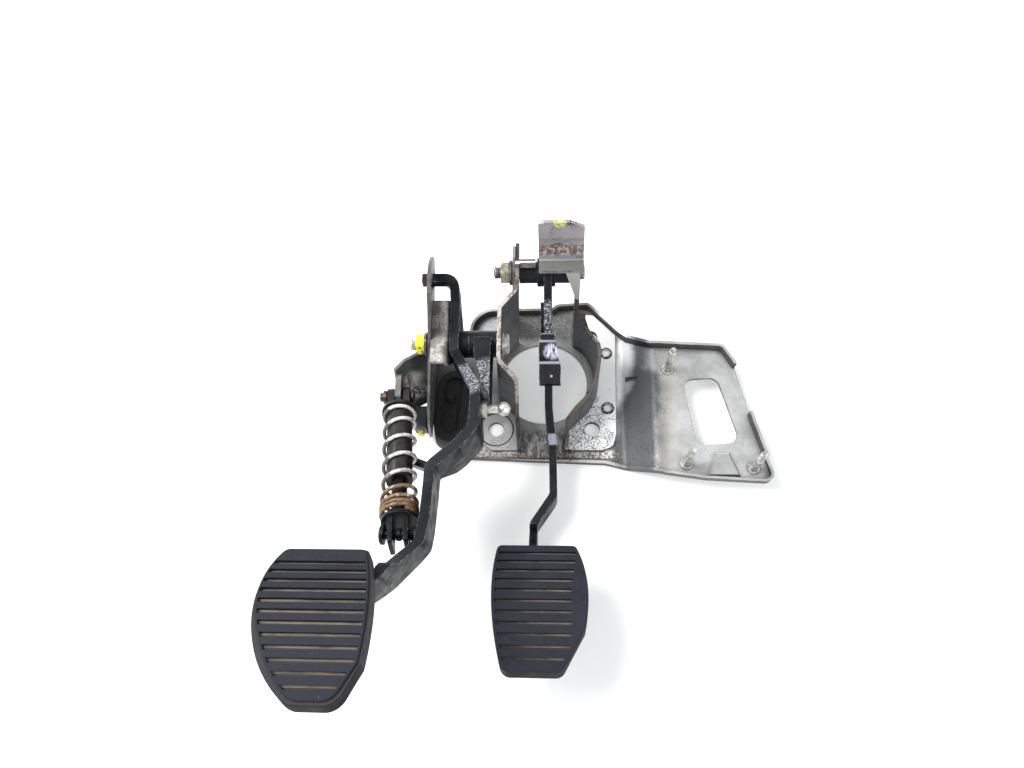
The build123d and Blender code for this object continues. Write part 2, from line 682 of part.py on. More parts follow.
clutch_outline = pad_shape(clutch_sides, 11, 0)
clutch_pocket = pad_shape(clutch_sides, 11, lip_w)
clutch_steel = pad_shape(clutch_sides, 11, lip_w + seat)
clutch_tread = pad_shape(clutch_tread_sides, 10, 0)
clutch_groove_field = pad_shape(clutch_tread_sides, 10, 1.1)
with BuildPart() as clutch_pad:
    border_t = rubber_t - border_drop
    border = curved_slab(clutch_pad_plane, clutch_crown_r, clutch_outline, border_drop, border_t)
    tread = curved_slab(clutch_pad_plane, clutch_crown_r, clutch_tread, 0, rubber_t - pocket_depth)
    add(soft_edge(border, clutch_pad_plane, 0.4))
    add(soft_edge(tread, clutch_pad_plane, 0.5))
    add(curved_slab(clutch_pad_plane, clutch_crown_r, clutch_pocket, rubber_t - pocket_depth, reach / 4),
        mode=Mode.SUBTRACT)
    add(groove_cutter(clutch_pad_plane, clutch_crown_r, clutch_groove_field, clutch_grooves, -18.8, 19.7),
        mode=Mode.SUBTRACT)
save(clutch_pad.part, "clutch_pad")
save(curved_slab(clutch_pad_plane, clutch_crown_r, clutch_steel, steel_drop, pad_plate_t), "clutch_pad_plate")


def pad_clearance(plane, crown_r):
    """Everything that an arm gives up to the pad from the steel plate's back onwards."""
    with BuildPart() as room:
        with BuildSketch(crown_plane(plane, crown_r)):
            with BuildLine():
                Polyline((-60, crown_r / 2), (60, crown_r / 2), (60, 2 * crown_r), (-60, 2 * crown_r),
                         close=True)
            make_face()
            Circle(crown_r - steel_drop - pad_plate_t, mode=Mode.SUBTRACT)
        extrude(amount=half_pad, both=True)
    return room.part


def lip_clearance(plane, crown_r, outline, pocket):
    """Room round the rubber's lip behind the pad."""
    with BuildPart() as room:
        with BuildSketch(plane.offset(-reach / 2)):
            add(outline)
            offset(amount=0.4)
            add(pocket, mode=Mode.SUBTRACT)
        extrude(amount=reach)
        with BuildSketch(crown_plane(plane, crown_r)):
            Circle(crown_r - rubber_t - 0.4)
        extrude(amount=half_pad, both=True, mode=Mode.SUBTRACT)
    return room.part


# Pedal arms: flat bar bent across the car, cut to its side view
brake_arm_line = [
    (brake_arm_x, 60.0), (brake_arm_x, -38.0), (6.6, -60.0), (7.0, -92.0), (-6.5, -112.0), (-6.5, -185.0),
]
arm_top_low = (-45.0, 47.0)
arm_top_high = (22.0, 108.5)
brake_arm_profile = [
    (50.0, 103.0), (44.0, 112.0), (31.0, 113.5), arm_top_high, arm_top_low, (-62.0, 35.0), (-85.0, 31.0),
    (-110.0, 30.0), (-124.0, 31.0), (-142.0, 50.0), (-150.0, 64.0), (-185.0, 64.0), (-178.0, 46.0),
    (-160.0, 27.0), (-143.0, 12.0), (-126.0, 6.5), (-100.0, 5.5), (-80.0, 6.6), (-56.0, 6.6), (-45.0, 20.0),
    (28.0, 90.0), (44.0, 90.5),
]
pushrod_place = (2.0, 73.5)
pushrod_d = 8.0
with BuildPart() as brake_arm:
    with BuildSketch():
        add(bent_strip(brake_arm_line, 7.0, brake_bar_t))
    extrude(amount=2 * reach)
    with BuildSketch(Plane.YZ):
        add(rounded(brake_arm_profile, 3.0))
        with Locations(brake_pivot):
            Circle(hub_outer, mode=Mode.SUBTRACT)
        with Locations(pushrod_place):
            Circle(pushrod_d / 2, mode=Mode.SUBTRACT)
    extrude(amount=reach, both=True, mode=Mode.INTERSECT)
    add(pad_clearance(brake_pad_plane, brake_crown_r), mode=Mode.SUBTRACT)
    add(lip_clearance(brake_pad_plane, brake_crown_r, brake_outline, brake_pocket), mode=Mode.SUBTRACT)
save(brake_arm.part, "brake_arm")

knuckle_x = -41.6        # middle of the arm where it passes the ball pin
blade_x = -67.0          # middle of the arm where it carries the assist spring
clutch_arm_line = [
    (-79.5, peg_place[0]), (clutch_arm_x, peg_place[0]), (clutch_arm_x, -9.0), (knuckle_x, -38.0),
    (knuckle_x, -64.0), (-52.0, -77.0), (blade_x, -90.0), (blade_x, -139.0), (-81.0, -162.0),
    (-106.0, -190.0),
]
peg_low = peg_place[1] - peg_w / 2
peg_high = peg_place[1] + peg_w / 2
clutch_arm_profile = [
    (44.0, peg_high), (34.0, peg_high), (24.0, 87.0), (8.0, 84.5), (-10.0, 84.0), (-38.0, 92.0),
    (-100.0, 94.5), (-122.0, 100.0), (-138.0, 112.0), (-154.0, 134.0), (-160.0, 180.0), (-216.0, 180.0),
    (-168.0, 113.0), (-147.0, 91.0), (-128.0, 77.0), (-105.0, 70.0), (-92.0, 68.0), (-84.0, 55.0),
    (-66.0, 52.0), (-54.0, 64.0), (-38.0, 65.0), (0.0, 54.5), (14.0, 59.0), (22.0, 72.0),
    (35.0, peg_low), (44.0, peg_low),
]
with BuildPart() as clutch_arm:
    with BuildSketch():
        add(bent_strip(clutch_arm_line, 7.0, bar_t))
    extrude(amount=2 * reach)
    with BuildSketch(Plane.YZ):
        add(rounded(clutch_arm_profile, 2.0))
        with Locations(clutch_pivot):
            Circle(hub_outer, mode=Mode.SUBTRACT)
    extrude(amount=2 * reach, both=True, mode=Mode.INTERSECT)
    add(pad_clearance(clutch_pad_plane, clutch_crown_r), mode=Mode.SUBTRACT)
    add(lip_clearance(clutch_pad_plane, clutch_crown_r, clutch_outline, clutch_pocket), mode=Mode.SUBTRACT)
save(clutch_arm.part, "clutch_arm")

# Clip over the brake arm, and the doubler beside it
clip_x = -2.1
clip_w = 14.2
arm_slope = (arm_top_high[1] - arm_top_low[1]) / (arm_top_high[0] - arm_top_low[0])


def arm_edge(y, lift):
    """Point at a distance over the brake arm's straight upper edge."""
    return (y, arm_top_low[1] + arm_slope * (y - arm_top_low[0]) + lift)


with BuildPart() as brake_pin_clip:
    with BuildSketch(across(clip_x, 0, 0)):
        add(rounded([arm_edge(-27, 4.5), arm_edge(-27, 0.5), arm_edge(-22, -9), arm_edge(-13, -11),
                     arm_edge(-6, -8), arm_edge(0, -6), arm_edge(0, 1.6), arm_edge(-4, 1.6),
                     arm_edge(-5.5, 3.2), arm_edge(-13, 4.5), arm_edge(-15, 2.9), arm_edge(-17, 4.5)], 0.7))
    extrude(amount=clip_w)
    with BuildSketch():
        with BuildLine():
            FilletPolyline((clip_x, -30), (clip_x + clip_w, -30), (clip_x + clip_w, -15.5), (10.6, -14),
                           (8.4, -4), (8.0, 2), (-0.2, 2), (clip_x, -6), radius=0.9, close=True)
        make_face()
    extrude(amount=2 * reach, mode=Mode.INTERSECT)
    with BuildSketch(across(brake_arm_x - brake_bar_t / 2 - seat, 0, 0)):
        with BuildLine():
            Polyline(arm_edge(-40, seat), arm_edge(20, seat), arm_edge(20, -40), arm_edge(-40, -40),
                     close=True)
        make_face()
    extrude(amount=brake_bar_t + 2 * seat, mode=Mode.SUBTRACT)
save(brake_pin_clip.part, "brake_pin_clip")

doubler_t = 2.2
with BuildPart() as brake_doubler:
    with BuildSketch(across(brake_arm_x - brake_bar_t / 2 - doubler_t, 0, 0)):
        add(rounded([arm_edge(17, -2.5), arm_edge(2.5, -0.5), arm_edge(2.5, -9), arm_edge(15, -12)], 1.0))
    extrude(amount=doubler_t)
save(brake_doubler.part, "brake_doubler")

# Strut from the clutch arm's knuckle up to the sleeve beside its hub
strut_low = 62.0
strut_high = 84.0
with BuildPart() as clutch_strut:
    with BuildSketch(Plane.XY.offset(strut_low)):
        with BuildLine():
            FilletPolyline((-38.2, -40.3), (-33.4, -40.3), (-33.6, -17), (-33.2, 0), (-45, 0), (-44.4, -13),
                           (-39.8, -27), radius=1.2, close=True)
        make_face()
    extrude(amount=strut_high - strut_low)
    with BuildSketch():
        add(bent_strip(clutch_arm_line, 7.0, bar_t))
    extrude(amount=2 * reach, mode=Mode.SUBTRACT)
    with BuildSketch(across(-reach, clutch_pivot[0], clutch_pivot[1])):
        Circle(sleeve_r_out)
        with Locations((reach / 2, 0)):
            Rectangle(reach, 2 * reach)
    extrude(amount=reach, mode=Mode.SUBTRACT)
save(clutch_strut.part, "clutch_strut")

# Ball pin for the clutch pushrod, on the arm's right face
ball_y = -46.5
ball_z = 73.0
ball_out = 18.5
ball_r = 4.7
neck_r = 2.8
ball_centre = ball_out - ball_r
neck_end = ball_centre - math.sqrt(ball_r ** 2 - neck_r ** 2)
ball_plane = Plane(origin=(knuckle_x + bar_t / 2, ball_y, ball_z), x_dir=(1, 0, 0), z_dir=(0, -1, 0))
with BuildPart() as clutch_ball_pin:
    with BuildSketch(ball_plane):
        with BuildLine():
            base = Polyline((ball_out, 0), (0, 0), (0, 5.6), (3.2, 5.6), (3.2, neck_r), (neck_end, neck_r))
            ThreePointArc(base @ 1, (ball_centre, ball_r), (ball_out, 0))
        make_face()
    revolve(axis=Axis(ball_plane.origin, ball_plane.x_dir))
save(clutch_ball_pin.part, "clutch_ball_pin")

# Switch that the arm's tongue reaches at the end of the clutch travel
switch_place = (-36.0, 22.0)
switch_face = side_plate_x(switch_place[1]) - side_t / 2 - 0.9
with BuildPart() as clutch_switch:
    with BuildSketch(across(switch_face, *switch_place)):
        RectangleRounded(17, 15, 2.5)
    extrude(amount=-8.5)
    with BuildSketch(across(switch_face - 8.5, *switch_place)):
        Circle(5.0)
    extrude(amount=-3, taper=10)
save(clutch_switch.part, "clutch_switch")
with BuildPart() as switch_plunger:
    plunger_place = (switch_face - 4, switch_place[0] - 8.5, switch_place[1])
    with BuildSketch(Plane(origin=plunger_place, z_dir=(0, -1, 0))):
        RectangleRounded(5, 4, 1)
    extrude(amount=3.0)
save(switch_plunger.part, "switch_plunger")

with BuildPart() as switch_tongue:
    with BuildSketch(Plane.XY.offset(55)):
        add(bent_strip([(-61.5, -80.5), (-68, -84), (-85.5, -77.5)], 3.0, 5.0))
    extrude(amount=9)
    with BuildSketch():
        add(bent_strip(clutch_arm_line, 7.0, bar_t))
    extrude(amount=2 * reach, mode=Mode.SUBTRACT)
save(switch_tongue.part, "switch_tongue")

# Assist spring unit, built along the line between its two pins
unit_line = Vector(*ball_place) - Vector(*anchor_pin)
unit_l = unit_line.length
unit = Plane(origin=anchor_pin, x_dir=(1, 0, 0), z_dir=unit_line.normalized())
unit_side = Plane(origin=anchor_pin, x_dir=unit_line.normalized(), z_dir=unit.x_dir)
clevis_r = 6.5
fork_w = 15.0
seat_at = unit_l - fork_root


def pin_cutter(place, radius):
    """Hole along X at one end of the unit."""
    with BuildPart() as cutter:
        with BuildSketch(across(*place)):
            Circle(radius)
        extrude(amount=reach / 3, both=True)
    return cutter.part


with BuildPart() as spring_sleeve:
    with BuildSketch(unit.offset(flange_start)):
        Circle(sleeve_r)
    extrude(amount=sleeve_end - flange_start)
    with BuildSketch(unit.offset(flange_start)):
        Circle(flange_r)
    extrude(amount=flange_t)
    for side in (-1, 1):
        with BuildSketch(unit_side.offset(side * (clevis_gap / 2 + clevis_leg_t / 2))):
            Circle(clevis_r)
            with Locations((flange_start / 2, 0)):
                Rectangle(flange_start, 2 * clevis_r)
        extrude(amount=clevis_leg_t / 2, both=True)
    with BuildSketch(unit.offset(flange_start)):
        Circle(rod_r + fit)
    extrude(amount=sleeve_end, mode=Mode.SUBTRACT)
    add(pin_cutter(anchor_pin, pin_r + fit), mode=Mode.SUBTRACT)
save(spring_sleeve.part, "spring_sleeve")

with BuildPart() as spring_rod:
    with BuildSketch(unit.offset(sleeve_end / 2)):
        Circle(rod_r)
    extrude(amount=seat_at - sleeve_end / 2)
    with BuildSketch(unit.offset(seat_at - spring_seat_t)):
        Circle(flange_r - 1)
    extrude(amount=spring_seat_t)
    for side in (-1, 1):
        with BuildSketch(unit_side.offset(side * (fork_gap / 2 + fork_leg_t / 2))):
            with Locations((unit_l - fork_root / 2 + fork_overrun / 2 - 1, 0)):
                RectangleRounded(fork_root + fork_overrun + 2, fork_w, 2)
        extrude(amount=fork_leg_t / 2, both=True)
    add(pin_cutter(ball_place, pin_r + fork_slack), mode=Mode.SUBTRACT)
save(spring_rod.part, "spring_rod")

coil_r = (spring_od - spring_wire) / 2
coil_low = flange_start + flange_t + spring_wire / 2
coil_high = seat_at - spring_seat_t - spring_wire / 2
coil_start = unit.offset(coil_low).origin
with BuildPart() as assist_spring:
    with BuildLine() as coil:
        Helix(pitch=(coil_high - coil_low) / spring_turns, height=coil_high - coil_low, radius=coil_r,
              center=coil_start, direction=unit.z_dir)
    with BuildSketch(Plane(origin=coil.line @ 0, z_dir=coil.line % 0)):
        Circle(spring_wire / 2)
    sweep(is_frenet=True)
save(assist_spring.part, "assist_spring")

# Pins of the unit
pin_head_r = 4.6
pin_reach = clevis_gap / 2 + clevis_leg_t + 1.2
with BuildPart() as spring_anchor_pin:
    with BuildSketch(across(anchor_pin[0] - pin_reach - 4.5, *anchor_pin[1:])):
        Circle(pin_r)
    extrude(amount=2 * pin_reach + 5.5)
    with BuildSketch(across(anchor_pin[0] - pin_reach, *anchor_pin[1:])):
        Circle(pin_head_r)
    extrude(amount=-2.2)
    with BuildSketch(across(anchor_pin[0] + pin_reach, *anchor_pin[1:])):
        Circle(pin_head_r)
    extrude(amount=1.2)
save(spring_anchor_pin.part, "spring_anchor_pin")

lump = 3.8
pin_end_r = 5.9
stud_end = blade_x - bar_t / 2 - ball_place[0]
with BuildPart() as spring_ball_pin:
    with BuildSketch(Plane(origin=ball_place, x_dir=(1, 0, 0), z_dir=(0, -1, 0))):
        with BuildLine():
            Polyline((stud_end, 0), (stud_end, 5.2), (stud_end - 2.5, 5.2), (stud_end - 4.0, 4.6),
                     (7.4, 3.6), (7.4, pin_r), (1.8, pin_r), (0.9, lump), (-0.9, lump), (-1.8, pin_r),
                     (-8.6, pin_r), (-8.6, pin_end_r), (-10.4, pin_end_r), (-11.2, 4.8), (-11.2, 0),
                     close=True)
        make_face()
    revolve(axis=Axis(ball_place, (1, 0, 0)))
save(spring_ball_pin.part, "spring_ball_pin")
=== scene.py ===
import math
import bmesh
import bpy
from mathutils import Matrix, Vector


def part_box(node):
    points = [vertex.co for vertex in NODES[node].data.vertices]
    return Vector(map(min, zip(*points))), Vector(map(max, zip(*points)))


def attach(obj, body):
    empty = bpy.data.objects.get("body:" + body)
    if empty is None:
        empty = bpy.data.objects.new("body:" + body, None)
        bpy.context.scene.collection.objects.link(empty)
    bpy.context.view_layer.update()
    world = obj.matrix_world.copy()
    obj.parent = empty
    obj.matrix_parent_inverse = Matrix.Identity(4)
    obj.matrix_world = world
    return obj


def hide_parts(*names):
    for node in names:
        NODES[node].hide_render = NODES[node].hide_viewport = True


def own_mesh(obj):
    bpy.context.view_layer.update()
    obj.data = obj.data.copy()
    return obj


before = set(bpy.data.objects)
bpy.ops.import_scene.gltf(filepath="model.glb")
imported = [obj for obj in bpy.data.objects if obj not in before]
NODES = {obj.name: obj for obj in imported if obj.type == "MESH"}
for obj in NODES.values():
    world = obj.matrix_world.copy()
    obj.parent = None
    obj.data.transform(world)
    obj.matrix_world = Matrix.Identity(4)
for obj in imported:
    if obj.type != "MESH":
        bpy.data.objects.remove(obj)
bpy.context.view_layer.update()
MM = 0.001


# Shader helpers. Places, lengths and the sizes of patterns are in millimetres.


class Shader:
    """Node tree of one material, whose base colour is painted in layers."""

    NEAR_SAMPLES = 6

    def __init__(self, name):
        self.material = bpy.data.materials.new(name)
        self.material.use_nodes = True
        self.tree = self.material.node_tree
        self.tree.nodes.clear()
        self.output = self.node("OutputMaterial")
        self.base = None
        scale = self.node("Mapping")
        scale.inputs["Scale"].default_value = (1000, 1000, 1000)
        self.link(self.node("TexCoord").outputs["Object"], scale.inputs["Vector"])
        self.mm = scale.outputs["Vector"]

    def node(self, kind):
        return self.tree.nodes.new("ShaderNode" + kind)

    def link(self, source, target):
        """Joins an output to an input, or writes a plain value on the input."""
        if isinstance(source, bpy.types.NodeSocket):
            self.tree.links.new(source, target)
        else:
            target.default_value = source

    # Numbers and masks

    def math(self, operation, a, b=0.0, clamp=False):
        """One operation on two values, kept within 0 and 1 where clamp is set."""
        node = self.node("Math")
        node.operation = operation
        node.use_clamp = clamp
        self.link(a, node.inputs[0])
        self.link(b, node.inputs[1])
        return node.outputs[0]

    def sum(self, a, b):
        return self.math("ADD", a, b)

    def difference(self, a, b):
        return self.math("SUBTRACT", a, b)

    def times(self, a, b):
        return self.math("MULTIPLY", a, b)

    def absolute(self, value):
        return self.math("ABSOLUTE", value)

    def all_of(self, mask, *others):
        """Product of masks: 1 only where all of them are."""
        for other in others:
            mask = self.math("MULTIPLY", mask, other, True)
        return mask

    def fade(self, value, low, high, start=0.0, end=1.0):
        """Value carried smoothly from low..high to start..end."""
        node = self.node("MapRange")
        node.interpolation_type = "SMOOTHSTEP"
        self.link(value, node.inputs["Value"])
        node.inputs["From Min"].default_value = low
        node.inputs["From Max"].default_value = high
        node.inputs["To Min"].default_value = start
        node.inputs["To Max"].default_value = end
        return node.outputs["Result"]

    def window(self, value, start, full, last, end):
        """1 from full to last, fading out to 0 at start and end."""
        return self.all_of(self.fade(value, start, full), self.fade(value, end, last))

    # Patterns

    def stretched(self, x, y, z):
        """The place, scaled along each axis."""
        node = self.node("Mapping")
        node.inputs["Scale"].default_value = (x, y, z)
        self.link(self.mm, node.inputs["Vector"])
        return node.outputs["Vector"]

    def noise(self, size, detail=4.0, rough=0.55, vector=None):
        """Cloudy noise with lumps of about that size."""
        node = self.node("TexNoise")
        node.inputs["Scale"].default_value = 1.0 / size
        node.inputs["Detail"].default_value = detail
        node.inputs["Roughness"].default_value = rough
        self.link(self.mm if vector is None else vector, node.inputs["Vector"])
        return node.outputs["Fac"]

    def blotches(self, size, low, high, detail=4.0, rough=0.55, vector=None):
        """Noise turned into patches, with their rims between two levels of it."""
        return self.fade(self.noise(size, detail, rough, vector), low, high)

    def wobble(self, size, reach):
        """Noise as an uneven shift of a border, up to reach either way."""
        return self.fade(self.noise(size, 3), 0.2, 0.8, -reach, reach)

    # Where the surface lies and how it faces

    def component(self, vector, name):
        node = self.node("SeparateXYZ")
        self.link(vector, node.inputs["Vector"])
        return node.outputs[name]

    def axis(self, name):
        """One coordinate of the place."""
        return self.component(self.mm, name)

    def facing(self, name):
        """One part of the surface's own direction."""
        return self.component(self.node("NewGeometry").outputs["Normal"], name)

    def vector_math(self, operation, a, b, result):
        node = self.node("VectorMath")
        node.operation = operation
        self.link(a, node.inputs[0])
        self.link(b, node.inputs[1])
        return node.outputs[result]

    def along(self, start, way):
        """Distance from a point, measured along a direction."""
        offset = self.vector_math("SUBTRACT", self.mm, start, "Vector")
        return self.vector_math("DOT_PRODUCT", offset, way, "Value")

    def near(self, point, radius, soft):
        """1 within a radius of a point, fading out over soft."""
        distance = self.vector_math("DISTANCE", self.mm, point, "Value")
        return self.fade(distance, radius + soft, radius)

    def edges(self, width):
        """1 on the corners of the shape and 0 on its flats."""
        bevel = self.node("Bevel")
        bevel.samples = self.NEAR_SAMPLES
        bevel.inputs["Radius"].default_value = width * MM
        normal = self.node("NewGeometry").outputs["Normal"]
        likeness = self.vector_math("DOT_PRODUCT", bevel.outputs["Normal"], normal, "Value")
        return self.fade(likeness, 0.985, 0.86)

    def crevice(self, distance):
        """1 in corners and hollows, 0 on open faces."""
        node = self.node("AmbientOcclusion")
        node.samples = self.NEAR_SAMPLES
        node.inputs["Distance"].default_value = distance * MM
        return self.fade(node.outputs["AO"], 0.35, 0.9, 1.0, 0.0)

    # Colour

    def mix(self, factor, a, b):
        """Colour a where the factor is 0 and b where it is 1."""
        node = self.node("Mix")
        node.data_type = "RGBA"
        self.link(factor, node.inputs["Factor"])
        self.link(colour(a), node.inputs["A"])
        self.link(colour(b), node.inputs["B"])
        return node.outputs["Result"]

    def paint(self, tone, *masks):
        """Lays a tone over the base where all the masks are 1."""
        self.base = self.mix(self.all_of(*masks), self.base, tone)

    def finish(self, metallic, rough, height, depth, specular=0.5):
        """Closes the tree with one principled shader, its bump up to depth high."""
        shader = self.node("BsdfPrincipled")
        self.link(self.base, shader.inputs["Base Color"])
        self.link(metallic, shader.inputs["Metallic"])
        self.link(rough, shader.inputs["Roughness"])
        shader.inputs["Specular IOR Level"].default_value = specular
        bump = self.node("Bump")
        bump.inputs["Strength"].default_value = 1.0
        bump.inputs["Distance"].default_value = depth * MM
        self.link(height, bump.inputs["Height"])
        self.link(bump.outputs["Normal"], shader.inputs["Normal"])
        self.link(shader.outputs["BSDF"], self.output.inputs["Surface"])
        return self.material


def colour(value):
    """A colour with its alpha, from three parts or a socket."""
    if isinstance(value, bpy.types.NodeSocket):
        return value
    return (*value, 1.0)


# Places that the looks and the pieces made here go by, as in the solids

# Assist unit: the anchor pin's middle, the ball pin's middle at rest, and the way from one to the other
UNIT_FROM = Vector((-98.0, -29.5, 50.0))
UNIT_TO = Vector((-81.8, -132.0, 95.0))
UNIT_WAY = (UNIT_TO - UNIT_FROM).normalized()

BRAKE_PIVOT = (37.0, 102.0)
CLUTCH_PIVOT = (1.0, 70.0)
STUD_PLACES = ((90.0, 5.4), (99.2, -66.0), (144.6, -69.0))
STUD_FOOT = 14.0
SERVO_HOLES = ((-35.0, -37.0), (35.0, -37.0), (35.0, 37.0), (-35.0, 37.0))
CLINCH_RINGS = ((46.7, 23.5), (46.8, -20.7))


def crowned_tread(middle, lean, crown, to_first, step, dust):
    """Tread of a pad that leans back, with its places in Y and Z and its angles in degrees.

    Its crown is an arc through its middle. The grooves start from an angle above that middle, a step
    apart, and dust thickens over them from the first X to the second.
    """
    lean = math.radians(lean)
    return {
        "axis": (middle[0] - crown * math.sin(lean), middle[1] - crown * math.cos(lean)),
        "crown": crown,
        "first": lean + math.radians(to_first),
        "step": math.radians(step),
        "dust": dust,
    }


GROOVE_DEPTH = 1.8
BRAKE_TREAD = crowned_tread((-164.3, 63.1), 16.9, 120.0, 16.1, 3.22, (-22, 14))
CLUTCH_TREAD = crowned_tread((-186.4, 173.0), 18.8, 100.0, 18.8, 38.5 / 12, (-160, -120))

RUST = (0.12, 0.055, 0.028)
DARK_RUST = (0.045, 0.024, 0.015)
# Black of fine dirt specks, and of the painted shade in the servo holes
BLACK_DIRT_AND_SHADE = (0.012, 0.011, 0.011)
# Tone of the painted shade in corners and hollows
CORNER_SHADE_TONE = (0.03, 0.028, 0.026)
DUST = (0.175, 0.150, 0.115)
YELLOW = (0.80, 0.78, 0.02)


# Finishes


class Sheet(Shader):
    """Galvanised sheet, built up in layers over a cloudy grey."""

    def __init__(self, name, light, dark):
        super().__init__(name)
        self.grain = self.noise(1.6, 3, 0.6)
        self.specks = 0.0
        self.base = self.mix(self.blotches(20, 0.36, 0.66, 5, 0.62), dark, light)
        self.paint([part * 0.72 for part in light], self.fade(self.grain, 0.35, 0.75, 0.0, 0.30))

    def speckle(self, amount, size=0.9, patch=14, tone=BLACK_DIRT_AND_SHADE):
        """Scatters fine specks in cloudy patches."""
        patches = self.blotches(patch, 0.42, 0.60, 3)
        self.specks = self.all_of(self.blotches(size, 0.585, 0.645, 2, 0.5), patches)
        self.paint(tone, self.specks, amount)

    def corner_shade(self, distance, amount, tone=CORNER_SHADE_TONE):
        """Painted shade, darker in corners and hollows."""
        self.paint(tone, self.crevice(distance), amount)

    def rust(self, amount, width=1.2, tone=RUST):
        """Rust along the corners of the sheet, in patches."""
        self.paint(tone, self.edges(width), self.blotches(5, 0.42, 0.60), amount)

    def close(self, metallic, low=0.36, high=0.6):
        """Rougher where the grain is high, between two roughnesses."""
        height = self.math("ADD", self.grain, self.specks, True)
        return self.finish(metallic, self.fade(self.grain, 0.2, 0.8, low, high), height, 0.06)


def plate_finish():
    """Bulkhead plate: pale round the servo, a ramp in painted shade, mid grey under the accelerator."""
    s = Sheet("plate_sheet", (0.50, 0.50, 0.50), (0.34, 0.34, 0.34))
    x, y, z = s.axis("X"), s.axis("Y"), s.axis("Z")
    level = s.absolute(s.facing("Z"))
    ragged = s.wobble(14, 2.5)

    # Pale flat between the right cheek's flange and the ramp
    s.paint((0.82, 0.82, 0.81), s.window(x, 36, 46, 64, 70))

    # Mottled dark sheet above the servo opening, and streaks of dirt below it
    above = s.all_of(s.fade(s.sum(y, ragged), 31, 40), s.window(x, -28, -18, 36, 45))
    s.paint((0.115, 0.118, 0.112), above, 0.95)
    s.paint((0.34, 0.34, 0.33), above, s.blotches(1.5, 0.52, 0.66, 3, 0.7), 0.7)
    streaks = s.blotches(1, 0.42, 0.56, 4, 0.7, s.stretched(0.55, 0.16, 0.3))
    s.paint((0.085, 0.085, 0.080), s.fade(y, -34, -40), s.window(x, -20, -14, 16, 24), streaks, 0.85)

    # The ramp: painted shade between borders that lean a little and part downwards, then a warmer belt
    across = s.sum(s.sum(x, s.times(y, -0.08)), ragged)
    from_left = s.sum(across, s.fade(y, 0, -30, 0.0, 9.0))
    right_end = s.fade(s.fade(y, 14, -10), 0.0, 1.0, 76, 90)
    from_right = s.difference(across, right_end)
    s.paint((0.060, 0.068, 0.074), s.fade(from_left, 58.5, 67.5), s.fade(from_right, 7, -7), 0.95)
    s.paint((0.44, 0.42, 0.375), s.window(across, 80, 88, 92, 104), 0.4)

    # Shaded left end, and specks everywhere that thin out right of the ramp
    s.paint((0.075, 0.078, 0.08), s.fade(x, -44, -56), 0.8)
    s.speckle(s.fade(across, 82, 96, 0.85, 0.35), 0.9, 13)

    # Rust and pale crust along the foot, and painted shade on the lip under it
    foot = s.all_of(s.fade(s.sum(y, s.wobble(6, 3)), -47, -54), s.fade(x, 62, 50))
    s.paint((0.085, 0.062, 0.042), foot, s.blotches(2.4, 0.45, 0.56, 4, 0.7), 0.85)
    s.paint((0.60, 0.58, 0.50), foot, s.blotches(1.3, 0.58, 0.66, 3, 0.7), 0.6)
    s.paint((0.030, 0.028, 0.026), s.fade(y, -57.5, -59.0), s.fade(x, 60, 45), 0.8)

    # Painted shade on upright walls and black painted shade in the servo holes; a painted highlight on the
    # raised patch's walls under the accelerator, brightest where they face +Y
    wall = s.all_of(s.fade(level, 0.75, 0.5), s.fade(z, 1.5, 3.0))
    s.paint((0.038, 0.040, 0.046), wall, 0.92)
    raised = s.all_of(wall, s.window(x, 110, 112, 138, 140), s.window(y, -76, -74, -52, -48))
    s.paint((0.40, 0.40, 0.40), raised)
    s.paint((0.88, 0.88, 0.88), raised, s.fade(s.facing("Y"), 0.2, 0.5))
    for place in SERVO_HOLES:
        s.paint(BLACK_DIRT_AND_SHADE, s.near((*place, 1.0), 6.5, 0.5), s.fade(level, 0.7, 0.4))
    # Painted shade in corners and hollows, then rust along the corners
    s.corner_shade(5, 0.6)
    s.rust(1.0, 1.0)

    # Painted highlight on the top of the rim along the foot
    rim_top = s.all_of(s.fade(y, -60.3, -60.8), s.fade(x, 60, 45), s.fade(z, 4.5, 5.5))
    s.paint((0.46, 0.46, 0.44), rim_top, s.blotches(9, 0.30, 0.42, 3))
    return s.close(0.35)


def cheek(name, wall, edge, edge_rust):
    """Start of a cheek's finish: grey walls with painted shade in their corners, and a cut edge with rust on
    it. Gives the edge's mask too.
    """
    s = Sheet(name, wall, [part * 0.5 for part in wall])
    s.corner_shade(9, 0.6, (0.018, 0.019, 0.021))
    cut = s.all_of(s.fade(s.absolute(s.facing("X")), 0.55, 0.30), s.fade(s.axis("Z"), 6.0, 9.0))
    s.paint(edge, cut, 0.95)
    s.paint((0.16, 0.085, 0.05), cut, s.blotches(3.2, 0.46, 0.58, 4, 0.7), edge_rust)
    s.speckle(0.7, 0.8, 10)
    return s, cut


def left_cheek_finish():
    """Cut edge painted pale as a highlight, with rust, darker low down; the sheet nearly black low down at
    the front; the top fold in painted shade with a line of painted highlight on it.
    """
    # The pale tone given for the cut edge is a painted highlight
    s, cut = cheek("left_cheek_sheet", (0.135, 0.14, 0.145), (0.50, 0.47, 0.42), 0.75)
    y, z = s.axis("Y"), s.axis("Z")
    s.paint((0.085, 0.075, 0.068), cut, s.fade(z, 52, 44), 0.85)
    # Painted shade on the top fold, with a line of painted highlight across it
    fold = s.all_of(s.fade(z, 115.5, 117.0), s.fade(s.facing("Z"), 0.5, 0.8))
    s.paint((0.05, 0.052, 0.055), fold)
    s.paint((0.78, 0.77, 0.73), fold, s.window(y, 33.6, 34.2, 35.6, 36.2))
    s.paint((0.02, 0.021, 0.024), s.fade(z, 34, 22), s.fade(y, 2, -8), 0.7)
    s.paint((0.42, 0.42, 0.41), s.fade(z, 6.0, 4.0), 0.8)
    s.speckle(0.8, 1.0, 9)
    return s.close(0.35)


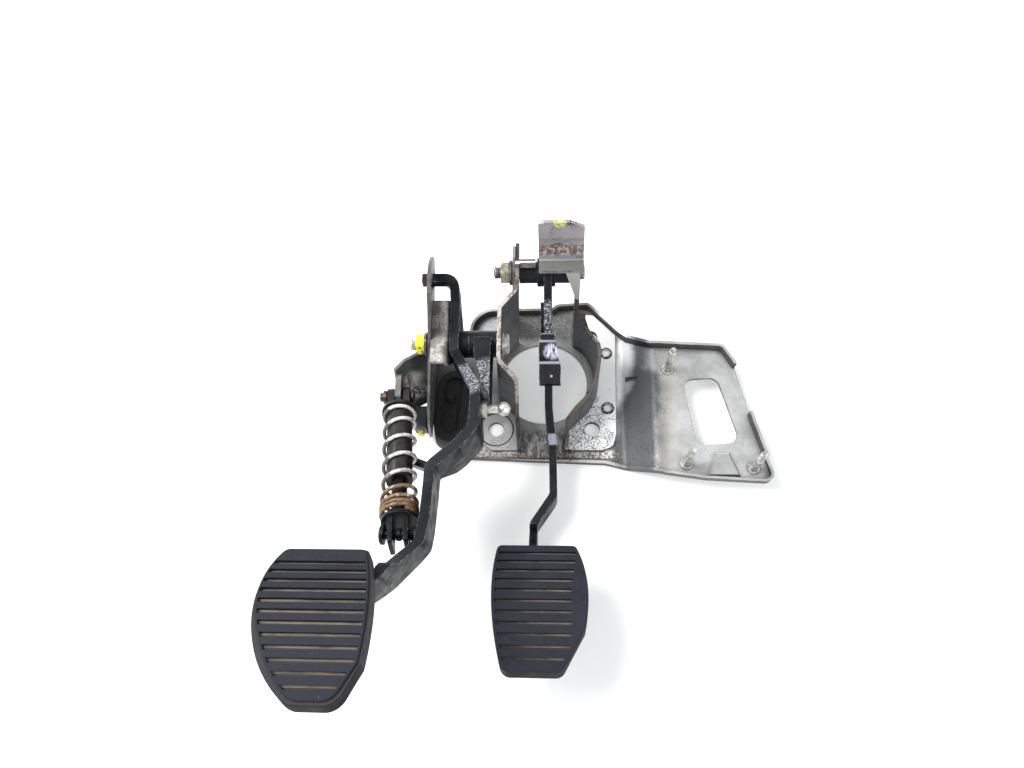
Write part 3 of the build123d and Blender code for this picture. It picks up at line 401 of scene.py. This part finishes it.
def right_cheek_finish():
    """Nearly white flange with black specks and a dark outline, dark bow, pale gusset."""
    s, _ = cheek("right_cheek_sheet", (0.085, 0.092, 0.10), (0.115, 0.108, 0.10), 0.5)
    x, y, z = s.axis("X"), s.axis("Y"), s.axis("Z")
    forward = s.facing("Y")
    flange = s.all_of(s.fade(s.facing("Z"), 0.80, 0.95), s.fade(z, 8.0, 6.0))
    s.paint((0.86, 0.86, 0.855), flange)

    # Specks thicken downwards and towards the opening
    thickness = s.sum(s.sum(s.noise(15, 3), s.fade(y, 10, -50, -0.14, 0.10)), s.fade(x, 44, 28, -0.11, 0.08))
    specks = s.all_of(s.blotches(0.8, 0.51, 0.57, 2, 0.5), s.fade(thickness, 0.44, 0.56))
    s.paint((0.02, 0.02, 0.022), flange, specks, 0.95)
    for place in CLINCH_RINGS:
        middle = (*place, 4.5)
        inside = s.fade(s.near(middle, 3.0, 0.5), 0.9, 0.1)
        s.paint((0.025, 0.025, 0.027), s.near(middle, 4.6, 0.4), inside, s.blotches(1.6, 0.30, 0.42, 2))
    s.paint((0.52, 0.52, 0.49), s.fade(forward, -0.6, -0.9), s.fade(z, 80, 84))
    slanted = s.all_of(s.fade(x, 24.3, 25.0), s.fade(z, 78, 82), s.fade(forward, 0.3, -0.1))
    s.paint((0.045, 0.048, 0.052), slanted, 0.95)
    s.paint((0.03, 0.03, 0.032), s.edges(0.8), flange, 0.9)
    return s.close(0.25)


def side_finish(name, light, dark, white=0.0):
    """Sheet round the clutch: dark grey with brown stains, black specks, rusty rims and painted shade in its
    corners.
    """
    s = Sheet(name, light, dark)
    s.paint((0.13, 0.095, 0.065), s.blotches(7, 0.50, 0.62, 4, 0.65), 0.55)
    if white:
        s.paint((0.62, 0.60, 0.56), s.blotches(9, 0.45, 0.55, 3), white)
    s.speckle(0.9, 1.1, 9)
    s.corner_shade(6, 0.6)
    s.rust(1.2, 1.1)
    return s.close(0.35)


def skirt_finish():
    """Flared skirt: dark, with one bright painted highlight where it turns towards the light, painted shade
    beside it, and a brown lug.
    """
    s = Sheet("skirt_sheet", (0.12, 0.125, 0.13), (0.035, 0.037, 0.04))
    s.paint((0.74, 0.74, 0.74), s.near((-91, -17, 38), 7, 9), s.blotches(5, 0.30, 0.50), 0.95)
    s.paint((0.02, 0.022, 0.025), s.near((-79, -17, 40), 6, 8), 0.85)
    sideways = s.absolute(s.facing("X"))
    s.paint((0.10, 0.075, 0.05), s.near((-98, -22, 48), 9, 5), s.fade(sideways, 0.8, 0.5), 0.9)
    s.speckle(0.7, 0.9, 9)
    s.rust(1.4, 1.2, (0.16, 0.11, 0.085))
    return s.close(0.2, 0.3, 0.55)


def tab_finish():
    """Dash tab: lilac grey, a rusty band over the bend, darker grey below it, a dab of yellow on top."""
    s = Sheet("tab_sheet", (0.46, 0.435, 0.45), (0.33, 0.31, 0.315))
    y, z = s.axis("Y"), s.axis("Z")
    height = s.sum(z, s.wobble(7, 2.0))
    band = s.window(height, 119.0, 121.0, 126.0, 128.5)
    s.paint((0.12, 0.072, 0.058), band, s.blotches(2.2, 0.38, 0.54, 4, 0.7))

    # Shelf under the bend, with a light line across it
    shelf = s.all_of(s.fade(z, 123.0, 121.5), s.fade(s.facing("Z"), 0.6, 0.9))
    s.paint((0.150, 0.155, 0.165), shelf)
    s.paint((0.28, 0.28, 0.29), shelf, s.window(y, 34.2, 34.7, 35.2, 35.8))
    s.paint((0.125, 0.125, 0.115), shelf, s.fade(y, 34.4, 33.9))
    s.speckle(0.75, 1.2, 8, (0.07, 0.045, 0.04))

    # Ragged rust at the upper right corner
    corner = s.all_of(s.fade(height, 143, 147), s.fade(s.axis("X"), 12, 17))
    s.paint((0.05, 0.03, 0.025), corner, s.blotches(1.5, 0.46, 0.54, 3, 0.7))
    s.paint((0.84, 0.82, 0.16), s.near((11.5, 44, 147.5), 2.4, 2.4), s.blotches(1.5, 0.42, 0.50, 3))
    s.rust(0.7, 0.8, (0.10, 0.06, 0.05))
    return s.close(0.3)


def black_paint(name, base=0.0052, worn=(0.40, 0.40, 0.45), wear=0.45, rough=0.42, patches=(), band=None):
    """Satin black over steel with a blue cast, chipped along its corners.

    Each of the patches is a place, a radius and a soft rim, where the paint is worn through in specks.
    The band is a stretch of painted highlight over the upper side: its middle in Y and half its length.
    """
    s = Shader(name)
    cloud = s.noise(9, 4)
    fine = s.noise(0.9, 3, 0.6)
    light = (base * 1.9, base * 2.1, base * 2.6)
    s.base = s.mix(s.fade(cloud, 0.35, 0.7), (base, base * 1.08, base * 1.3), light)
    s.paint(worn, s.edges(1.0), s.blotches(2.2, 0.46, 0.58, 4, 0.7), wear)
    for place, radius, soft in patches:
        spot = s.all_of(s.near(place, radius, soft), s.fade(s.facing("X"), 0.85, 0.55))
        s.paint((0.10, 0.105, 0.125), spot, s.blotches(5, 0.30, 0.62), 0.6)
        s.paint((0.44, 0.45, 0.48), spot, s.blotches(0.95, 0.51, 0.60, 2, 0.6), 0.85)
    # Painted highlight across the band on the upper side
    if band is not None:
        middle, half = band
        off = s.absolute(s.sum(s.axis("Y"), -middle))
        lit_stretch = s.all_of(s.fade(off, half + 0.6, half - 0.6), s.fade(s.facing("Z"), 0.4, 0.7))
        s.paint((0.30, 0.30, 0.36), lit_stretch, s.blotches(1.5, 0.25, 0.5, 3))
    s.paint((0.12, 0.12, 0.13), s.blotches(3.5, 0.56, 0.74, 5, 0.7), 0.08)
    return s.finish(0.0, s.fade(cloud, 0.3, 0.7, rough - 0.10, rough + 0.12), fine, 0.05, 0.16)


def zinc(name, base, dab=None, dab_radius=0.0, dirt=0.8, metal=0.75):
    """Zinc on hardware, with a dab of marking paint where a point is given."""
    s = Shader(name)
    cloud = s.noise(3.0, 4)
    fine = s.noise(0.5, 2)
    s.base = s.mix(s.fade(cloud, 0.35, 0.7), [part * 0.5 for part in base], base)
    s.paint(DARK_RUST, s.crevice(2.5), dirt)
    rough = s.fade(cloud, 0.3, 0.7, 0.28, 0.5)
    if dab:
        painted = s.all_of(s.near(dab, dab_radius, 1.5), s.blotches(2.4, 0.38, 0.44, 3))
        s.paint(YELLOW, painted)
        metal = s.fade(painted, 0.0, 1.0, metal, 0.0)
        rough = s.fade(painted, 0.0, 1.0, 0.38, 0.6)
    return s.finish(metal, rough, fine, 0.03)


def pad_finish(name, tread):
    """Pedal rubber: dark blue grey, painted shade in its grooves, and a line of tan dust along each groove
    that is partly a painted highlight.
    """
    s = Shader(name)
    cloud = s.noise(12, 5, 0.6)
    fine = s.noise(0.7, 3, 0.6)
    crown = tread["crown"]
    s.base = s.mix(s.fade(cloud, 0.3, 0.7), (0.013, 0.0145, 0.021), (0.022, 0.025, 0.034))
    s.paint((0.042, 0.042, 0.047), s.fade(fine, 0.45, 0.8, 0.0, 0.30))

    # Depth under the crown, which is an arc about the tread's axis
    up = s.difference(s.axis("Y"), tread["axis"][0])
    out = s.difference(s.axis("Z"), tread["axis"][1])
    radial = s.math("SQRT", s.sum(s.times(up, up), s.times(out, out)))
    s.paint((0.042, 0.040, 0.040), s.fade(radial, crown - 0.25, crown - 0.45), 0.75)
    # Painted shade on the groove walls that face -Y, away from the light
    groove_shade = s.all_of(s.fade(radial, crown - 0.3, crown - 0.8), s.fade(s.facing("Y"), 0.0, -0.4))
    s.paint((0.004, 0.004, 0.005), groove_shade, 0.9)

    # Dust on the upper half of each groove's floor, in streaks, kept to the faces towards the light: dust and
    # painted highlight at once
    turn = s.math("ARCTAN2", up, out)
    share = s.math("FRACT", s.times(s.sum(turn, -tread["first"]), 1.0 / tread["step"]))
    upper_half = s.math("LESS_THAN", share, 0.5)
    floor = s.fade(s.absolute(s.sum(radial, GROOVE_DEPTH - crown)), 0.28, 0.12)
    lit = s.fade(s.facing("Y"), -0.3, 0.0)
    spread = s.fade(s.sum(s.axis("X"), s.wobble(14, 14)), *tread["dust"])
    streak = s.fade(s.noise(1, 4, 0.6, s.stretched(0.07, 0.35, 0.35)), 0.34, 0.60, 0.35, 1.0)
    s.paint(DUST, floor, upper_half, lit, spread, streak, 0.95)
    s.paint((0.22, 0.21, 0.19), s.blotches(1.1, 0.66, 0.74, 3, 0.7), 0.5)
    return s.finish(0.0, s.fade(cloud, 0.3, 0.7, 0.60, 0.78), fine, 0.10, 0.18)


def plastic(name, base, rough=0.5):
    """Dull plastic or rubber with a little dust on it."""
    s = Shader(name)
    cloud = s.noise(4, 4)
    fine = s.noise(0.6, 2)
    s.base = s.mix(s.fade(cloud, 0.35, 0.7), base, [min(1.0, part * 1.5 + 0.008) for part in base])
    s.paint((0.13, 0.125, 0.12), s.blotches(2, 0.58, 0.75, 5, 0.7), 0.3)
    return s.finish(0.0, s.fade(cloud, 0.3, 0.7, rough - 0.08, rough + 0.1), fine, 0.03)


def beside_unit(s, along):
    """Distance in X from the assist unit's axis, for a place that lies so far along it."""
    return s.difference(s.difference(s.axis("X"), s.times(along, UNIT_WAY[0])), UNIT_FROM[0])


def sleeve_finish():
    """Black plastic sleeve with painted shade for a slot down its face, and a brown tinge on its right."""
    s = Shader("sleeve_plastic")
    along = s.along(UNIT_FROM, UNIT_WAY)
    beside = beside_unit(s, along)
    cloud = s.noise(5, 4)
    fine = s.noise(0.6, 2)
    s.base = s.mix(s.fade(cloud, 0.35, 0.7), (0.006, 0.006, 0.007), (0.013, 0.013, 0.015))
    s.paint((0.022, 0.017, 0.022), s.fade(beside, -0.5, 3.0), s.fade(cloud, 0.3, 0.6))
    # Painted shade: a black line where a slot runs down the face
    s.paint((0.001, 0.001, 0.001), s.fade(s.absolute(s.sum(beside, 1.4)), 1.3, 0.8), s.fade(along, 17, 19))
    return s.finish(0.0, s.fade(cloud, 0.3, 0.7, 0.36, 0.5), fine, 0.03, 0.4)


def glossy_clip():
    """Black plastic with bright, slightly violet painted highlights along its edges, in streaks on its face
    and over its upward faces, and a light dot.
    """
    s = Shader("clip_plastic")
    s.base = s.mix(s.blotches(4, 0.35, 0.7, 3), (0.004, 0.004, 0.007), (0.010, 0.010, 0.016))
    # Painted highlights: along the edges, in streaks on the face, and over the faces turned up
    s.paint((0.55, 0.53, 0.66), s.edges(0.9), s.blotches(2.6, 0.44, 0.56, 4, 0.7), 0.85)
    highlight_streaks = s.blotches(1, 0.36, 0.52, 4, 0.6, s.stretched(0.9, 0.25, 0.25))
    s.paint((0.62, 0.60, 0.74), s.near((6.5, -10.5, 82.5), 3.6, 3.2), highlight_streaks, 0.9)
    s.paint((0.36, 0.35, 0.44), s.fade(s.facing("Z"), 0.92, 0.97), 0.7)
    s.paint((0.40, 0.39, 0.46), s.near((5.9, -23.1, 71.6), 0.6, 0.5))
    return s.finish(0.0, 0.22, s.noise(0.8, 3), 0.05, 0.35)


def spring_finish():
    """Pale coating with painted shade on the left of each coil, gone to rust at the lower end."""
    s = Shader("spring_coating")
    along = s.along(UNIT_FROM, UNIT_WAY)
    cloud = s.noise(5, 4, 0.7)
    fine = s.noise(0.8, 3)
    # Painted shade: grey on the left of each coil
    left = s.fade(s.sum(beside_unit(s, along), s.fade(cloud, 0.3, 0.7, -5, 5)), -2, -8)
    s.base = s.mix(left, (0.80, 0.79, 0.74), (0.13, 0.125, 0.12))
    s.paint((0.20, 0.17, 0.14), s.blotches(2.0, 0.55, 0.62, 3), 0.7)
    rust = s.mix(s.blotches(1.6, 0.35, 0.65, 4, 0.7), (0.085, 0.045, 0.028), (0.30, 0.17, 0.085))
    s.paint(rust, s.fade(s.sum(along, s.fade(cloud, 0.3, 0.7, -12, 12)), 70, 92))
    return s.finish(0.25, s.fade(fine, 0.2, 0.8, 0.35, 0.6), fine, 0.06)


STUD_ZINC = zinc("stud_zinc", (0.66, 0.66, 0.65), dirt=0.7)
BRAKE_BOLT = zinc("bolt_zinc", (0.30, 0.32, 0.35))
CLUTCH_BOLT = zinc("clutch_bolt_zinc", (0.90, 0.90, 0.88), dirt=0.2, metal=0.3)
SPRING = spring_finish()
BRAKE_WEAR = (((5, 12, 88), 14, 3), ((5, 34, 97), 12, 3))
CLUTCH_WEAR = (((-47, -32, 90), 9.5, 4), ((-36.5, -30, 83), 11.5, 5))

FINISH = {
    plate_finish(): ["bulkhead_plate"],
    left_cheek_finish(): ["bracket_left_cheek"],
    right_cheek_finish(): ["bracket_right_cheek"],
    tab_finish(): ["dash_tab"],
    skirt_finish(): ["spring_anchor"],
    side_finish("stay_sheet", (0.36, 0.36, 0.36), (0.20, 0.20, 0.20)): ["pivot_stay"],
    side_finish("side_sheet", (0.26, 0.26, 0.255), (0.10, 0.10, 0.10)): ["clutch_side_plate"],
    side_finish("channel_sheet", (0.32, 0.315, 0.30), (0.12, 0.115, 0.11), 0.4): ["clutch_channel"],
    STUD_ZINC: ["accelerator_studs"],
    BRAKE_BOLT: ["brake_pivot_bolt"],
    CLUTCH_BOLT: ["clutch_pivot_bolt"],
    zinc("pale_zinc", (0.86, 0.85, 0.80), dirt=0.5): ["clutch_ball_pin"],
    zinc("thread_zinc", (0.20, 0.19, 0.19)): ["clutch_pivot_washer", "brake_pivot_washer"],
    zinc("pin_zinc", (0.12, 0.09, 0.06)): ["spring_anchor_pin"],
    zinc("brake_nut_zinc", (0.42, 0.41, 0.31), (-28.0, 42.5, 107.0), 3.2): ["brake_pivot_nut"],
    zinc("clutch_nut_zinc", (0.40, 0.36, 0.26), (-84, 1, 76), 8.5): ["clutch_pivot_nut"],
    black_paint("tube_paint", 0.010, (0.25, 0.25, 0.27), 0.35, 0.32): [
        "brake_spacer_tube", "clutch_spacer_tube", "clutch_hub_sleeve"],
    black_paint("brake_paint", patches=BRAKE_WEAR, band=(-56, 3.2)): ["brake_arm"],
    black_paint("clutch_paint", patches=CLUTCH_WEAR): ["clutch_arm", "clutch_strut"],
    black_paint("part_paint"): [
        "brake_hub", "clutch_hub", "brake_doubler", "switch_tongue", "brake_pad_plate", "clutch_pad_plate"],
    black_paint("black_steel", 0.005, (0.12, 0.12, 0.13), 0.3, 0.36): ["spring_ball_pin", "spring_rod"],
    plastic("bush_plastic", (0.12, 0.12, 0.125)): ["brake_bush", "clutch_bush"],
    plastic("switch_plastic", (0.055, 0.065, 0.085)): ["clutch_switch"],
    plastic("yellow_plastic", (0.66, 0.60, 0.05)): ["switch_plunger"],
    plastic("grommet_rubber", (0.008, 0.008, 0.009), 0.6): ["clutch_grommet"],
    sleeve_finish(): ["spring_sleeve"],
    glossy_clip(): ["brake_pin_clip"],
    SPRING: ["assist_spring"],
    pad_finish("brake_rubber", BRAKE_TREAD): ["brake_pad"],
    pad_finish("clutch_rubber", CLUTCH_TREAD): ["clutch_pad"],
}
for finish, names in FINISH.items():
    for name in names:
        NODES[name].data.materials.clear()
        NODES[name].data.materials.append(finish)


# Pieces made here: bolts and studs with real threads, and the assist spring with its closed ends

SIDES = 28
SHARP = 40.0
ALONG_X = Vector((1, 0, 0))
ALONG_Z = Vector((0, 0, 1))


def square_to(way):
    """Two directions square to a way and to each other."""
    side = way.orthogonal().normalized() if abs(way.x) > 0.9 else ALONG_X
    side = (side - way * side.dot(way)).normalized()
    return side, way.cross(side)


def skin(name, rings, sharp=SHARP):
    """Closed mesh through a row of rings with the same number of points, in millimetres."""
    count = len(rings[0])
    last = (len(rings) - 1) * count
    faces = [tuple(range(count))[::-1], tuple(last + i for i in range(count))]
    for low in range(0, last, count):
        high = low + count
        for i in range(count):
            j = (i + 1) % count
            faces.append((low + i, low + j, high + j, high + i))
    mesh = bpy.data.meshes.new(name)
    mesh.from_pydata([point * MM for ring in rings for point in ring], [], faces)
    body = bmesh.new()
    body.from_mesh(mesh)
    bmesh.ops.recalc_face_normals(body, faces=body.faces)
    body.to_mesh(mesh)
    body.free()
    mesh.shade_smooth()
    mesh.set_sharp_from_angle(angle=math.radians(sharp))
    piece = bpy.data.objects.new(name, mesh)
    bpy.context.scene.collection.objects.link(piece)
    return piece


def round_about(centre, side, up, reaches):
    """Points round a centre, evenly turned from side to up, each at its own reach."""
    ring = []
    for i, reach in enumerate(reaches):
        turn = math.tau * i / len(reaches)
        ring.append(centre + (side * math.cos(turn) + up * math.sin(turn)) * reach)
    return ring


def turned(start, way, profile):
    """Rings of a lathe piece, whose rows are height and radius.

    A row with "hex" after them is a hexagon, and its radius reaches to the flats.
    """
    side, up = square_to(way)
    rings = []
    for height, radius, *hexagon in profile:
        reaches = [radius] * SIDES
        if hexagon:
            sixth = math.pi / 3
            turns = [math.tau * i / SIDES for i in range(SIDES)]
            reaches = [radius / math.cos((turn + sixth / 2) % sixth - sixth / 2) for turn in turns]
        rings.append(round_about(start + way * height, side, up, reaches))
    return rings


def threaded(start, way, length, radius, pitch):
    """Rings of a screw thread that runs in and out at its ends, with sharp crests and flat roots."""
    rings_per_pitch = 7
    depth = 0.55 * pitch
    steepness = 1.15
    side, up = square_to(way)
    steps = int(length / pitch * rings_per_pitch)
    rings = []
    for row in range(steps + 1):
        height = length * row / steps
        ease = min(1.0, height / pitch, (length - height) / pitch)
        waves = [(height / pitch - i / SIDES) % 1.0 for i in range(SIDES)]
        cuts = [depth * min(1.0, steepness * abs(2 * wave - 1)) * ease for wave in waves]
        rings.append(round_about(start + way * height, side, up, [radius - cut for cut in cuts]))
    return rings


def put(piece, finish, body, slot, *nodes):
    """Gives a piece its finish and body, in the place of the nodes that it replaces. Its slot is not used."""
    piece.data.materials.append(finish)
    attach(piece, body)
    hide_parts(*nodes)
    return piece


# Pivot bolts, M8: a chamfered tip, the thread, the plain shank and the head

BOLT_R = 4.0
BOLT_PITCH = 1.25
BOLT_THREAD = 13.0
BOLT_TIP = 0.7
TIP_R = (2.6, 3.4)
SHANK_FROM = 13.9
# Both heads run from their underside to the dish in their end. The clutch's has a flange and a hexagon.
BRAKE_HEAD = [(3.6, BOLT_R), (3.6, 4.5), (3.2, 4.7), (0.8, 4.7), (0.2, 4.3), (0.0, 3.6), (0.0, 2.4),
              (1.6, 2.2)]
CLUTCH_HEAD = [(6.5, BOLT_R), (6.5, 7.4), (6.1, 7.8), (5.5, 7.8), (5.1, 6.8), (5.1, 6.3, "hex"),
               (2.6, 6.3, "hex"), (1.9, 5.9), (1.9, 4.5), (2.4, 4.1)]


def pivot_bolt(node, pivot, head, finish):
    """Bolt along X: thread at its left end, and the head's rows measured back from its right end."""
    low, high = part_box(node)
    start, end = low[0] / MM, high[0] / MM
    length = end - start
    foot = Vector((start, *pivot))
    rings = turned(foot, ALONG_X, [(0.0, TIP_R[0]), (BOLT_TIP, TIP_R[1])])
    rings += threaded(foot + ALONG_X * BOLT_TIP, ALONG_X, BOLT_THREAD, BOLT_R, BOLT_PITCH)
    rings += turned(foot, ALONG_X, [(SHANK_FROM, BOLT_R), (length - head[0][0], BOLT_R)])
    rings += turned(foot, ALONG_X, [(length - back, *rest) for back, *rest in head])
    put(skin(node + "_detail", rings), finish, "frame", "zinc_hardware", node)


pivot_bolt("brake_pivot_bolt", BRAKE_PIVOT, BRAKE_HEAD, BRAKE_BOLT)
pivot_bolt("clutch_pivot_bolt", CLUTCH_PIVOT, CLUTCH_HEAD, CLUTCH_BOLT)


# Accelerator studs, M5: a foot with a collar, the thread and a dog point

STUD_R = 2.5
STUD_PITCH = 0.8
STUD_THREAD_FROM = 20.2
STUD_THREAD = 13.6
STUD_LOWER = [(0.0, 2.4), (2.0, 2.4), (2.0, 4.3), (2.3, 4.6), (2.8, 4.6), (3.2, 4.2), (3.2, STUD_R),
              (20.0, STUD_R)]
STUD_POINT = [(34.2, 1.9), (35.6, 1.8), (36.0, 1.4)]

studs = []
for place in STUD_PLACES:
    foot = Vector((*place, STUD_FOOT))
    rings = turned(foot, ALONG_Z, STUD_LOWER)
    rings += threaded(foot + ALONG_Z * STUD_THREAD_FROM, ALONG_Z, STUD_THREAD, STUD_R, STUD_PITCH)
    rings += turned(foot, ALONG_Z, STUD_POINT)
    studs.append(skin("accelerator_stud", rings))
for stud in studs:
    put(stud, STUD_ZINC, "frame", "galvanised_sheet", "accelerator_studs")


# The right cheek's front corner is cut back beside the gusset, so that the bolt's head stands free

CUT_LOW = (24.35, 20.0, 63.0)
CUT_HIGH = (45.0, 30.6, 140.0)


def cut_back(node, low, high):
    """Copy of a CAD node's mesh with the block between two corners taken away."""
    block = bmesh.new()
    bmesh.ops.create_cube(block, size=1.0)
    for vertex in block.verts:
        vertex.co = [MM * (a + (b - a) * (c + 0.5)) for a, b, c in zip(low, high, vertex.co)]
    cutter_mesh = bpy.data.meshes.new("cutter")
    block.to_mesh(cutter_mesh)
    block.free()
    cutter = bpy.data.objects.new("cutter", cutter_mesh)
    piece = bpy.data.objects.new(node + "_cut_back", NODES[node].data.copy())
    for thing in (cutter, piece):
        bpy.context.scene.collection.objects.link(thing)
    difference = piece.modifiers.new("difference", "BOOLEAN")
    difference.operation = "DIFFERENCE"
    difference.solver = "EXACT"
    difference.object = cutter
    solved = bpy.data.meshes.new_from_object(piece.evaluated_get(bpy.context.evaluated_depsgraph_get()))
    piece.modifiers.clear()
    piece.data = solved
    bpy.data.objects.remove(cutter)
    return piece


cheek_piece = cut_back("bracket_right_cheek", CUT_LOW, CUT_HIGH)
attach(cheek_piece, "frame")
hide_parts("bracket_right_cheek")


# Soft corners on the thicker pieces, by their width

SOFT_CORNERS = {"brake_pin_clip": 0.9, "clutch_arm": 0.7, "brake_arm": 0.5, "clutch_strut": 0.5,
                "brake_doubler": 0.3, "spring_rod": 0.4, "spring_sleeve": 0.4, "clutch_switch": 0.5}
WELD_GAP = 0.01
CORNER_ANGLE = 38

for name, width in SOFT_CORNERS.items():
    weld = NODES[name].modifiers.new("weld", "WELD")
    weld.merge_threshold = WELD_GAP * MM
    bevel = NODES[name].modifiers.new("soft_corners", "BEVEL")
    bevel.width = width * MM
    bevel.segments = 2
    bevel.limit_method = "ANGLE"
    bevel.angle_limit = math.radians(CORNER_ANGLE)
    bevel.harden_normals = True


# Assist spring

SPRING_FROM = 15.7
SPRING_PHASE = -0.4
SPRING_SIDES = 12
SPRING_SHARP = 60.0
STEPS_PER_TURN = 28
WIRE_R = 1.25
# The coil widens where its lower end closes up: radius, what is added, and from where to where
COIL_R = 9.95
COIL_WIDER = 0.75
WIDER_FROM, WIDER_TO = 66.0, 76.0
# Turns, and how far from the flange the middle of the wire is by then
COILS = [(0.0, 1.3), (0.9, 2.6), (1.9, 17.8), (2.9, 32.5), (3.9, 47.6), (4.9, 61.1), (5.9, 72.5), (6.9, 78.2),
         (7.9, 81.0), (8.9, 83.7), (9.6, 85.5)]
LAST_TURN = COILS[-1][0]
# Turns to either side over which the pitch is evened out
EVEN_OUT = (-0.12, -0.06, 0.0, 0.06, 0.12)


def coil_along(turn):
    """Distance from the flange after some turns, straight between the rows of COILS."""
    turn = min(max(turn, 0.0), LAST_TURN)
    for (low, near), (high, far) in zip(COILS, COILS[1:]):
        if turn <= high:
            return near + (far - near) * (turn - low) / (high - low)


def coil_radius(along):
    share = (along - WIDER_FROM) / (WIDER_TO - WIDER_FROM)
    return COIL_R + COIL_WIDER * max(0.0, min(1.0, share))


def spring_rings():
    """Rings of wire round the coil's centre line, each square to it."""
    side, up = square_to(UNIT_WAY)
    centres = []
    for step in range(int(LAST_TURN * STEPS_PER_TURN) + 1):
        turn = step / STEPS_PER_TURN
        along = sum(coil_along(turn + shift) for shift in EVEN_OUT) / len(EVEN_OUT)
        angle = math.tau * (SPRING_PHASE + turn)
        outward = side * math.cos(angle) + up * math.sin(angle)
        centres.append(UNIT_FROM + UNIT_WAY * (SPRING_FROM + along) + outward * coil_radius(coil_along(turn)))
    rings = []
    for i, centre in enumerate(centres):
        ahead = (centres[min(i + 1, len(centres) - 1)] - centres[max(i - 1, 0)]).normalized()
        outward = centre - UNIT_FROM
        outward = (outward - UNIT_WAY * outward.dot(UNIT_WAY)).normalized()
        outward = (outward - ahead * outward.dot(ahead)).normalized()
        rings.append(round_about(centre, outward, ahead.cross(outward), [WIRE_R] * SPRING_SIDES))
    return rings


spring = skin("assist_spring_coil", spring_rings(), SPRING_SHARP)
put(spring, SPRING, "assist_sleeve", "spring_steel", "assist_spring")
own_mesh(spring)


# Camera at the photograph's viewpoint

camera_data = bpy.data.cameras.new("camera")
camera_data.lens = 26.367
camera_data.sensor_width = 36.0
camera_data.sensor_fit = "HORIZONTAL"
camera = bpy.data.objects.new("camera", camera_data)
camera.location = (0.00899, -0.21333, 0.52494)
camera.rotation_euler = (0.387378, 0.0554868, 0.0194056)
bpy.context.scene.collection.objects.link(camera)
bpy.context.scene.camera = camera


# Floor, light and world, in metres

FLOOR_SIZE = 3.0
FLOOR_DROP = 0.0004
FLOOR_GLOW = 0.30
SEEING_RAYS = ("Is Camera Ray", "Is Glossy Ray", "Is Transmission Ray")


def ray_mask(tree):
    """1 for rays from the camera and through reflections and glass, 0 for those that carry light."""
    path = tree.nodes.new("ShaderNodeLightPath")
    seen = path.outputs[SEEING_RAYS[0]]
    for kind in SEEING_RAYS[1:]:
        larger = tree.nodes.new("ShaderNodeMath")
        larger.operation = "MAXIMUM"
        tree.links.new(seen, larger.inputs[0])
        tree.links.new(path.outputs[kind], larger.inputs[1])
        seen = larger.outputs["Value"]
    return seen


def floor_finish():
    """Pale floor that looks white to the camera and in reflections, and still takes the shadow."""
    s = Shader("floor_white")
    diffuse = s.node("BsdfDiffuse")
    diffuse.inputs["Color"].default_value = (0.80, 0.80, 0.79, 1)
    glow = s.node("Emission")
    s.link(s.times(ray_mask(s.tree), FLOOR_GLOW), glow.inputs["Strength"])
    add = s.node("AddShader")
    s.link(diffuse.outputs["BSDF"], add.inputs[0])
    s.link(glow.outputs["Emission"], add.inputs[1])
    s.link(add.outputs["Shader"], s.output.inputs["Surface"])
    return s.material


half = FLOOR_SIZE / 2
corners = [(-half, -half), (half, -half), (half, half), (-half, half)]
floor_mesh = bpy.data.meshes.new("floor")
floor_mesh.from_pydata([(*corner, -FLOOR_DROP) for corner in corners], [], [(0, 1, 2, 3)])
floor_mesh.materials.append(floor_finish())
floor = bpy.data.objects.new("floor", floor_mesh)
bpy.context.scene.collection.objects.link(floor)


def area_light(name, place, aim, size, watts):
    """Soft square lamp that points at a place."""
    data = bpy.data.lights.new(name, "AREA")
    data.size = size
    data.energy = watts
    lamp = bpy.data.objects.new(name, data)
    lamp.location = place
    lamp.rotation_euler = (Vector(aim) - Vector(place)).to_track_quat("-Z", "Y").to_euler()
    bpy.context.scene.collection.objects.link(lamp)


area_light("key", (-0.85, 0.25, 1.35), (0, 0, 0), 0.8, 32)
area_light("fill", (0.9, -0.9, 1.2), (0, -0.05, 0.05), 1.0, 9)

world = bpy.data.worlds.new("studio")
world.use_nodes = True
sky = world.node_tree
light = sky.nodes["Background"]
light.inputs["Color"].default_value = (0.93, 0.96, 1.0, 1)
light.inputs["Strength"].default_value = 0.60
white = sky.nodes.new("ShaderNodeBackground")
white.inputs["Color"].default_value = (1, 1, 1, 1)
either = sky.nodes.new("ShaderNodeMixShader")
sky.links.new(ray_mask(sky), either.inputs["Fac"])
sky.links.new(light.outputs["Background"], either.inputs[1])
sky.links.new(white.outputs["Background"], either.inputs[2])
sky.links.new(either.outputs["Shader"], sky.nodes["World Output"].inputs["Surface"])
bpy.context.scene.world = world
bpy.context.scene.view_settings.view_transform = "Standard"
